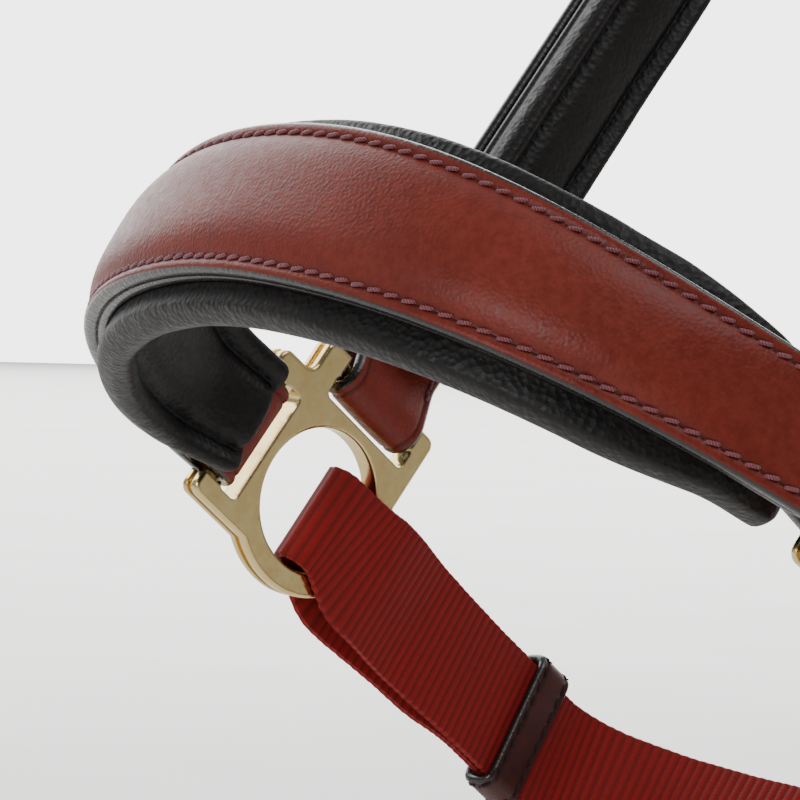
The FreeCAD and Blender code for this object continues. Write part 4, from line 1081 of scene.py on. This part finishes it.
# ------------------------------------------------------------------ crown buckle straps
class HEADCOLLAR_OT_buckle_straps(Operator):
    """Builds the chapes, billets and keepers at the two crown buckles"""

    bl_idname = "headcollar.buckle_straps"
    bl_label = "Buckle Straps"

    def execute(self, context):
        head = Head(context)
        size = head.size
        low, heel = size.throat_height + size.bar_centre, size.buckle_heel
        chape_inner, chape_thick = 2.25, 2.2
        middle = chape_inner + chape_thick / 2
        line = [(v, middle) for v in steps(low, heel, 16)] + arc(heel, 0, middle, middle, 90, -90, 14)
        line += [(v, -middle) for v in steps(heel, low, 16)] + arc(low, 0, middle, middle, 270, 90, 14)
        route = Route([head.side(0, a, b) for a, b in line], head.u * -1, head.strap_half, closed=True)
        chape = sweep(head, "buckle_chape_right", stations_along(route, 1.4),
                      strap_section(-chape_thick / 2, chape_thick / 2, size.stitch_margin, 0.1), leather_finishes(),
                      closed=True)
        slot = [head.u * a + head.v * b for a, b in ((-2.4, -5.5), (2.4, -5.5), (2.4, 8.0), (-2.4, 8.0))]
        cut_holes(chape, [(head.side(0, heel), head.w, slot)], head, finish("hole"))
        place_pair(chape, "buckle_chape", "headcollar", "burgundy_leather", "crown_buckle_chape")
        seams = seam_rows(head, route, 6.0, heel - low - 12.0, lambda s: chape_thick / 2 + 0.02)
        sew(head, "buckle_chape_stitching", seams, pair=True)

        billet_low, billet_high, thick = middle + chape_thick / 2 + size.layer_gap, 1.45, 3.0
        tail, top = heel - size.billet_tail, size.crown_start + 26.0
        bend_low, bend_high = heel + 1.0, heel + size.buckle_length - 2.0
        line, half = [], []
        for v in sorted(steps(tail, top, 90) + steps(tail, tail + 3, 8)):
            drop = smooth((v - bend_low) / (bend_high - bend_low))
            line.append(head.side(0, v, billet_low + thick / 2 + (billet_high - billet_low) * drop))
            from_tip = min(v - tail, head.strap_half)
            half.append(max(1.5, math.sqrt(head.strap_half ** 2 - (head.strap_half - from_tip) ** 2)))
        route = Route(line, head.u * -1, half)
        billet = sweep(head, "crown_billet_strap_right", stations_along(route, 1.0, 2.0),
                       strap_section(-thick / 2, thick / 2, None, 0.15), leather_finishes(), round_end=0.6)
        gap = [head.u * a + head.v * b for a, b in ((-2.0, -0.3), (2.0, -0.3), (2.0, 16.5), (-2.0, 16.5))]
        round_hole = [head.u * (1.9 * math.cos(t)) + head.v * (1.9 * math.sin(t))
                      for t in (2 * math.pi * k / 24 for k in range(24))]
        punches = [(head.side(0, heel, 6), head.w, gap)]
        punches += [(head.side(0, heel - 16.0 * k + 4, 6), head.w, round_hole) for k in (1, 2)]
        cut_holes(billet, punches, head, finish("hole"))
        place_pair(billet, "crown_billet_strap", "headcollar", "burgundy_leather", "crown_billet")

        wall, gap = size.keeper_wall, 0.35
        depth_low, depth_high = -(middle + chape_thick / 2) - gap, billet_low + thick + gap
        half_b = (depth_high - depth_low + wall) / 2
        for label, back, bodies in (("fixed", 11.5, None), ("running", 24.5, "crown_runner")):
            centre = head.side(0, heel - back, (depth_low + depth_high) / 2)
            half_a = head.strap_half + gap + wall / 2
            line, across = ring_route(half_a, half_b, 2.4, centre, head.u, head.w, head.v * -1)
            route = Route(line, across, 4.5, closed=True)
            section = strap_section(-wall / 2, wall / 2, 1.5, 0.12, 0.16)
            strap(head, f"crown_{label}_keeper_leather", route, 1.0, section, [f"crown_{label}_keeper"],
                  "keeper_leather", leather_finishes("keeper"), pair=True, bodies=bodies)
        return {"FINISHED"}


# ------------------------------------------------------------------ chin webbing
def chin_line(head):
    """The webbing's middle from the right ring back round the chin: (point, across, half, spread)."""
    size = head.size
    web_half, fold_half = size.web_width / 2, size.web_width / 2 - 2.5
    twist_full = size.web_twist
    fold_gap, ply_gap = 2.6 + size.web_thick / 2, 0.3 + size.web_thick / 2
    right = []
    for back in steps(4.5, 78.0, 60):
        settle = smooth((back - 19.0) / 17.0)
        half = fold_half + (web_half - fold_half) * smooth((back - 4.5) / 14.0)
        drop = size.web_drop - (web_half - half) * 0.6
        twist = twist_full * smooth((back - 20) / 40.0)
        across = (head.v * math.cos(twist) + head.w * math.sin(twist)) * -1
        right.append((head.side(-back, -drop), across, half, fold_gap * (1 - settle) + ply_gap * settle))
    start = head.side(-80.0, -size.web_drop)
    poles = [start, start + Vector((head.u.x, head.u.y, 0)) * -CHIN_CORNER, Vector((-CHIN_FLAT, CHIN_DEPTH, -size.web_drop))]
    poles += [mirrored(p) for p in reversed(poles)]
    middle = []
    for t in steps(0.01, 0.99, 90):
        tangent = (bezier(poles, t + 0.005) - bezier(poles, t - 0.005)).normalized()
        level_out = AXIS_Z.cross(tangent).normalized()
        across = (AXIS_Z * math.cos(twist_full) + level_out * math.sin(twist_full)) * -1
        middle.append((bezier(poles, t), across, web_half, ply_gap))
    left = [(mirrored(p), mirrored(a), h, s) for p, a, h, s in reversed(right)]
    return right + middle + left


def outwards(line):
    """Away from the jaw, at each point of a chin line."""
    last = len(line) - 1
    runs = [(line[min(k + 1, last)][0] - line[max(k - 1, 0)][0]).normalized() for k in range(last + 1)]
    return [run.cross(spot[1]).normalized() for run, spot in zip(runs, line)]


def chin_seat(head):
    """The webbing's middle under the chin, with the directions up its face and away from the jaw."""
    twist = head.size.web_twist
    up = AXIS_Z * math.cos(twist) + AXIS_Y * math.sin(twist)
    line = chin_line(head)
    point = line[len(line) // 2][0].copy()
    point.x = 0.0
    return point, up, AXIS_X.cross(up) * -1


def webbing_section(head):
    """Ribbed webbing: the ribs run across it, and each edge is a thicker woven selvedge."""
    size = head.size

    def section(station):
        half, thick = station.half, size.web_thick
        wave = 0.5 + 0.5 * math.cos(2 * math.pi * station.distance / size.web_rib)
        rib = 0.26 * (wave ** 0.6)
        sway = 0.16 * noise.noise(station.point * 0.11) + 0.08 * noise.noise(station.point * 0.5)
        edge = half - 0.10 * (1 - wave) + sway
        other = half - 0.10 * (1 - wave) - 0.8 * sway
        shade = (1 - wave) ** 2 * 0.6
        points = []
        for side, reach in ((-1, edge), (1, other)):
            for a in np.linspace(-1, 1, 17):
                x = -side * a * reach * 0.965
                selvedge = 0.10 * math.exp(-((abs(a) - 0.93) / 0.05) ** 2)
                b = side * (thick / 2 - 0.20 + rib + selvedge)
                points.append((x, b, 0, shade))
            points.append((-side * reach, 0.0, 0, shade))
        return points
    return section


class HEADCOLLAR_OT_webbing(Operator):
    """Builds the ribbed chin webbing, folded through both rings, and its leather keepers"""

    bl_idname = "headcollar.webbing"
    bl_label = "Chin Webbing"

    def execute(self, context):
        head = Head(context)
        size = head.size
        line = chin_line(head)
        outs = outwards(line)
        ends = []
        for index in (0, -1):
            point, across, half, spread = line[index]
            away = (point - line[1 if index == 0 else -2][0]).normalized()
            turns = [math.radians(d) for d in steps(10, 170, 15)]
            ends.append([(point + outs[index] * (spread * math.cos(t)) + away * (spread * math.sin(t)), across, half)
                         for t in turns])
        whole = []
        count = len(line)
        for k in range(count):
            back = min(k, count - 1 - k) * 1.25
            slip = 1.3 * smooth(back / 14) * (1 - smooth((back - 36) / 16))
            point, across, half, spread = line[k]
            whole.append((point + outs[k] * spread + across * slip, across, half))
        whole += ends[1]
        for k in range(count - 1, -1, -1):
            point, across, half, spread = line[k]
            whole.append((point - outs[k] * spread, across, half))
        whole += reversed(ends[0])
        points, sides, halves = (list(column) for column in zip(*whole))
        route = Route(points, sides, halves, closed=True)
        ribs = round(route.total / size.web_rib)
        size.web_rib = route.total / ribs
        nodes = ("chin_webbing_outer_ply", "chin_webbing_inner_ply", "chin_webbing_fold_left",
                 "chin_webbing_fold_right")
        strap(head, "chin_webbing", route, size.web_rib / 4, webbing_section(head), nodes, "red_webbing",
              [finish("webbing")])

        wall, gap, at = size.keeper_wall, 0.35, 70.0
        twist = size.web_twist * smooth((at - 20) / 40.0)
        half_a = size.web_width / 2 + gap + wall / 2
        half_b = size.web_thick + 0.3 + gap + wall / 2
        across = head.v * math.cos(twist) + head.w * math.sin(twist)
        out = head.w * math.cos(twist) - head.v * math.sin(twist)
        centre = head.side(-at, -size.web_drop)
        line, side = ring_route(half_a, half_b, 1.9, centre, across, out, head.u, overlap=0.0)
        route = Route(line, side, 4.5, closed=True)
        section = strap_section(-wall / 2, wall / 2, 1.45, 0.12, 0.20)
        strap(head, "chin_keeper", route, 0.9, section, ["chin_webbing_keeper"], "keeper_leather",
              leather_finishes("keeper"), pair=True, bodies="web_keeper")
        seams = seam_rows(head, route, 0.0, route.total, lambda s: wall / 2 - 0.2, 1.6)
        # The pricking marks are all in the hole material: painted shade in the dents.
        pricked = stitches(head, "chin_keeper_pricking_right", seams, finish("hole"), finish("hole"))
        place_pair(pricked, "chin_keeper_pricking", "headcollar", "keeper_leather", bodies="web_keeper")
        return {"FINISHED"}


# ------------------------------------------------------------------ chin sleeve and lead loop
class HEADCOLLAR_OT_chin(Operator):
    """Builds the sleeve round the webbing under the chin and the loop that carries the lead ring"""

    bl_idname = "headcollar.chin"
    bl_label = "Chin Sleeve and Lead Loop"

    def execute(self, context):
        head = Head(context)
        size = head.size
        wall, gap, reach = size.keeper_wall, SLEEVE_GAP, 34.0
        chin, up, out = chin_seat(head)
        centre = chin - out * SLEEVE_INWARD
        half_a = size.web_width / 2 + 1.0 + wall / 2
        half_b = size.web_thick + gap + wall / 2
        around, side = ring_route(half_a, half_b, 2.2, centre, up, out, AXIS_X)
        route = Route(around, side, reach / 2, closed=True)
        section = strap_section(-wall / 2, wall / 2, 2.2, 0.1)
        strap(head, "chin_sleeve_leather", route, 0.9, section, ["chin_sleeve"])
        seams = seam_rows(head, route, 0.0, route.total, lambda s: wall / 2 + 0.02, 2.2)
        sew(head, "chin_sleeve_stitching", seams)

        hinge = next(j for j in frame["joints"] if j["name"] == "lead_swing")["pos_m"]
        bar = head.lean.inverted() @ ((Vector(hinge) - head.origin) / MM)
        back = centre + out * (size.web_thick + gap + wall)
        leg = (bar - back).dot(out) - 0.1
        middle = size.bar_radius + 0.35 + 1.1
        loop = [(-leg, middle)] + arc(0, 0, middle, middle, 90, -90, 20) + [(-leg, -middle)]
        points = [bar + out * a + up * b for a, b in loop]
        route = Route(points, AXIS_X, 10.0)
        strap(head, "lead_loop", route, 0.9, strap_section(-1.1, 1.1, 2.0, 0.1), ["lead_fitting_loop"])
        return {"FINISHED"}


# ------------------------------------------------------------------ throatlash and jowl strap
class HEADCOLLAR_OT_throatlash(Operator):
    """Builds the throatlash, the loops at its ends, and the strap that joins it to the chin"""

    bl_idname = "headcollar.throatlash"
    bl_label = "Throatlash and Jowl Strap"

    def execute(self, context):
        head = Head(context)
        size = head.size
        drop, leg = size.lash_drop, LASH_LEG
        run = head.u * -math.cos(drop) - head.v * math.sin(drop)
        level = Vector((0, run.y, run.z))
        ahead = level.normalized()
        across = AXIS_X.cross(ahead)
        ring = head.side(0, size.throat_height)
        lean = math.atan2(-run.x, level.length)
        radius = (-ring.x + leg * math.sin(lean)) / math.cos(lean)
        centre = leg * math.cos(lean) + radius * math.sin(lean)
        base = Vector((0, ring.y, ring.z))

        def leg_point(side, distance):
            x = -ring.x + distance * math.sin(lean)
            return base + AXIS_X * (side * x) + ahead * (distance * math.cos(lean))

        eye_bar = SNAP_BARREL_START + SNAP_BARREL_LENGTH + SNAP_EYE_REACH
        line = [leg_point(-1, d) for d in steps(26.0, leg, 14)]
        reach = math.pi / 2 - lean
        for turn in steps(-reach, reach, 70)[1:-1]:
            line.append(base + AXIS_X * (radius * math.sin(turn)) + ahead * (centre + radius * math.cos(turn)))
        line += [leg_point(1, d) for d in steps(leg, eye_bar + 3.4, 8)]
        route = Route(line, across * -1, size.lash_width / 2)
        half = size.lash_thick / 2
        section = strap_section(-half, half, size.stitch_margin, 0.3)
        strap(head, "throatlash_leather", route, 1.4, section, ["throatlash_strap"], tip=0.8, round_end=0.6)
        seams = seam_rows(head, route, 22.0, route.total - 14.0, lambda s: half + 0.05)
        sew(head, "throatlash_stitching", seams)

        side = head.w.cross(run)
        for label, start, end, inner, flip in (("right", 9.0, 46.0, 2.6, False),
                                               ("left", eye_bar, leg - 0.5, 2.05, True)):
            middle = inner + 0.9
            lay = size.lash_thick / 2 + 0.95

            def spread(x):
                return middle + (lay - middle) * smooth((x - start) / 14)

            loop = [(x, spread(x)) for x in steps(end, start, 30)]
            loop += arc(start, 0, middle, middle, 90, 270, 20)[1:]
            loop += [(x, -spread(x)) for x in steps(start, end, 30)[1:]]
            points = [ring + run * a + head.w * b for a, b in loop]
            sides = side
            if flip:
                points, sides = [mirrored(p) for p in points], mirrored(side) * -1
            route = Route(points, sides, size.lash_width / 2)
            strap(head, f"throatlash_loop_leather_{label}", route, 1.0, strap_section(-0.9, 0.9, 2.0, 0.12),
                  [f"throatlash_loop_{label}"], tip=0.6, round_end=0.5)
            seams = seam_rows(head, route, 2.0, 16.0, lambda s: 0.92, 2.0)
            seams += seam_rows(head, route, route.total - 16.0, route.total - 2.0, lambda s: 0.92, 2.0)
            sew(head, f"throatlash_loop_stitching_{label}", seams)

        bottom = base + ahead * (centre + radius)
        down = across if across.z < 0 else across * -1
        chin, up, out = chin_seat(head)
        sleeve_back = chin + out * (size.web_thick + SLEEVE_GAP + size.keeper_wall - SLEEVE_INWARD)
        foot = sleeve_back + out * (size.leather / 2 + 0.2) + up * 7.5
        top = bottom + down * (size.lash_width / 2 + 3.4)
        route = Route([foot.lerp(top, t) for t in steps(0, 1, 40)], AXIS_X, 9.0)
        section = strap_section(-size.leather / 2, size.leather / 2, size.stitch_margin, 0.25)
        strap(head, "jowl_strap_leather", route, 1.2, section, ["jowl_strap"], tip=0.8, round_end=0.6)
        seams = seam_rows(head, route, 2.0, route.total - 2.0, lambda s: size.leather / 2 + 0.05)
        sew(head, "jowl_strap_stitching", seams)
        around, side = ring_route(size.lash_width / 2 + 0.4 + 0.9, size.lash_thick / 2 + 1.3 + 0.9, 2.0,
                                  bottom - ahead * 0.25, down, ahead, AXIS_X)
        route = Route(around, side, 9.0, closed=True)
        strap(head, "jowl_sleeve_leather", route, 0.9, strap_section(-0.9, 0.9, 2.0, 0.1), ["jowl_strap_sleeve"])
        return {"FINISHED"}


# ------------------------------------------------------------------ metal
class HEADCOLLAR_OT_metal(Operator):
    """Gives the castings, buckles and snap their polished brass"""

    bl_idname = "headcollar.metal"
    bl_label = "Metal Finish"

    def execute(self, context):
        metal = [s["node"] for s in frame["record"]["subparts"] if s["material_slot"] == "cast_brass"]
        for name in metal:
            mesh = frame["nodes"][name].data
            mesh.materials.clear()
            mesh.materials.append(finish("brass"))
            mesh.polygons.foreach_set("use_smooth", [True] * len(mesh.polygons))
            mesh.set_sharp_from_angle(angle=math.radians(35))
        return {"FINISHED"}


# ------------------------------------------------------------------ stage
def softbox(name, at, aim, width, height, watts, tint=(1.0, 1.0, 1.0)):
    light = bpy.data.lights.new(name, "AREA")
    light.shape = "RECTANGLE"
    light.size, light.size_y = width, height
    light.energy = watts
    light.color = tint
    obj = bpy.data.objects.new(name, light)
    obj.location = at
    obj.rotation_euler = (Vector(aim) - Vector(at)).to_track_quat("-Z", "Y").to_euler()
    bpy.context.scene.collection.objects.link(obj)
    return obj


class HEADCOLLAR_OT_stage(Operator):
    """Sets up the pale floor, the soft studio light and the camera"""

    bl_idname = "headcollar.stage"
    bl_label = "Stage"

    def execute(self, context):
        view = context.scene.headcollar_view
        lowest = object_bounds()[0][2]
        mesh = bpy.data.meshes.new("studio_floor")
        wide, down = FLOOR_REACH, lowest - FLOOR_DROP
        corners = [(-wide, -wide, down), (wide, -wide, down), (wide, wide, down), (-wide, wide, down)]
        mesh.from_pydata(corners, [], [(0, 1, 2, 3)])
        mesh.materials.append(finish("floor"))
        floor = bpy.data.objects.new("studio_floor", mesh)
        context.scene.collection.objects.link(floor)
        floor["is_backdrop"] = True

        aim = Head(context).origin + Vector((view.aim_left, -view.aim_forward, view.aim_up))
        toward = Vector((math.cos(view.elevation) * math.cos(view.azimuth),
                         math.cos(view.elevation) * math.sin(view.azimuth), math.sin(view.elevation)))
        data = bpy.data.cameras.new("camera")
        data.lens = view.lens
        data.sensor_width = 36.0
        data.clip_start, data.clip_end = 0.01, 200.0
        camera = bpy.data.objects.new("camera", data)
        camera.location = aim + toward * view.distance
        turn = toward.to_track_quat("Z", "Y").to_matrix() @ Matrix.Rotation(view.roll, 3, "Z")
        camera.rotation_euler = turn.to_euler()
        context.scene.collection.objects.link(camera)
        context.scene.camera = camera

        world = bpy.data.worlds.new("studio")
        world.use_nodes = True
        tree = world.node_tree
        tree.nodes.clear()
        spot = add_node(tree, "ShaderNodeTexCoord").outputs["Generated"]
        flat = add_node(tree, "ShaderNodeVectorMath", {"operation": "DOT_PRODUCT", 1: tuple(toward)}, _0=spot)
        turned = add_node(tree, "ShaderNodeMath", {"operation": "MULTIPLY_ADD", 1: 0.5, 2: 0.5},
                          _0=flat.outputs["Value"]).outputs[0]
        shade = ramp(tree, turned, [(0.0, 1.0), (0.010, 1.0), (0.022, 0.16), (0.5, 0.09), (0.8, 0.035)])
        light = add_node(tree, "ShaderNodeBackground", {"Strength": 4.2}, Color=shade)
        output = tree.nodes.new("ShaderNodeOutputWorld")
        tree.links.new(light.outputs[0], output.inputs["Surface"])
        context.scene.world = world

        right = toward.cross(AXIS_Z).normalized() * -1
        far = aim - Vector((toward.x, toward.y, 0)).normalized() * 16
        softbox("floor_softbox", far + AXIS_Z * 2.6, far - AXIS_Z, 22.0, 22.0, 5200.0)
        softbox("key_softbox", aim + AXIS_Z * 0.9 + right * 0.4 + toward * 0.25, aim, 0.9, 0.6, 4.6)
        softbox("front_softbox", aim + toward * 0.85 + AXIS_Z * 0.22 - right * 0.62, aim, 0.42, 0.34, 4.2)
        softbox("left_strip", aim - right * 0.9 + toward * 0.2 + AXIS_Z * 0.3, aim, 0.3, 0.7, 0.3)
        return {"FINISHED"}


class HeadcollarView(PropertyGroup):
    """Where the camera stands and what it looks at."""

    azimuth: angle("Azimuth", "Direction of the camera round the vertical", -34.83)
    elevation: angle("Elevation", "Height of the camera as an angle", 1.34)
    roll: angle("Roll", "Turn of the camera about its own line of sight", 2.0)
    distance: length("Distance", "Camera to the point it looks at", 552.4)
    lens: FloatProperty(name="Lens", description="Focal length, on a 36 mm sensor", default=164.6,
                        subtype="DISTANCE_CAMERA")
    aim_left: length("Aim to the left", "Left of the middle of the head", 13.0)
    aim_forward: length("Aim forward", "In front of the cheek fittings", 48.7)
    aim_up: length("Aim up", "Above the cheek fittings", 21.0)


class HEADCOLLAR_PT_panel(Panel):
    """Lists the pieces in the order they are built"""

    bl_label = "Headcollar"
    bl_idname = "HEADCOLLAR_PT_panel"
    bl_space_type = "VIEW_3D"
    bl_region_type = "UI"
    bl_category = "Headcollar"

    def draw(self, context):
        column = self.layout.column(align=True)
        for operator in OPERATORS:
            column.operator(operator.bl_idname)
        for group in ("headcollar_sizes", "headcollar_colours", "headcollar_view"):
            settings = getattr(context.scene, group)
            box = self.layout.box()
            for name in type(settings).__annotations__:
                box.prop(settings, name)


OPERATORS = (HEADCOLLAR_OT_noseband, HEADCOLLAR_OT_cheekpieces, HEADCOLLAR_OT_crown,
             HEADCOLLAR_OT_buckle_straps, HEADCOLLAR_OT_webbing, HEADCOLLAR_OT_chin,
             HEADCOLLAR_OT_throatlash, HEADCOLLAR_OT_metal, HEADCOLLAR_OT_stage)
GROUPS = {"headcollar_sizes": HeadcollarSizes, "headcollar_colours": HeadcollarColours,
          "headcollar_view": HeadcollarView}


def register():
    for group in GROUPS.values():
        bpy.utils.register_class(group)
    for name, group in GROUPS.items():
        setattr(bpy.types.Scene, name, PointerProperty(type=group))
    for operator in OPERATORS:
        bpy.utils.register_class(operator)
    bpy.utils.register_class(HEADCOLLAR_PT_panel)


def unregister():
    bpy.utils.unregister_class(HEADCOLLAR_PT_panel)
    for operator in reversed(OPERATORS):
        bpy.utils.unregister_class(operator)
    for name, group in GROUPS.items():
        delattr(bpy.types.Scene, name)
        bpy.utils.unregister_class(group)


def main():
    register()
    for operator in OPERATORS:
        group, name = operator.bl_idname.split(".")
        getattr(getattr(bpy.ops, group), name)()


if __name__ == "__main__":
    main()
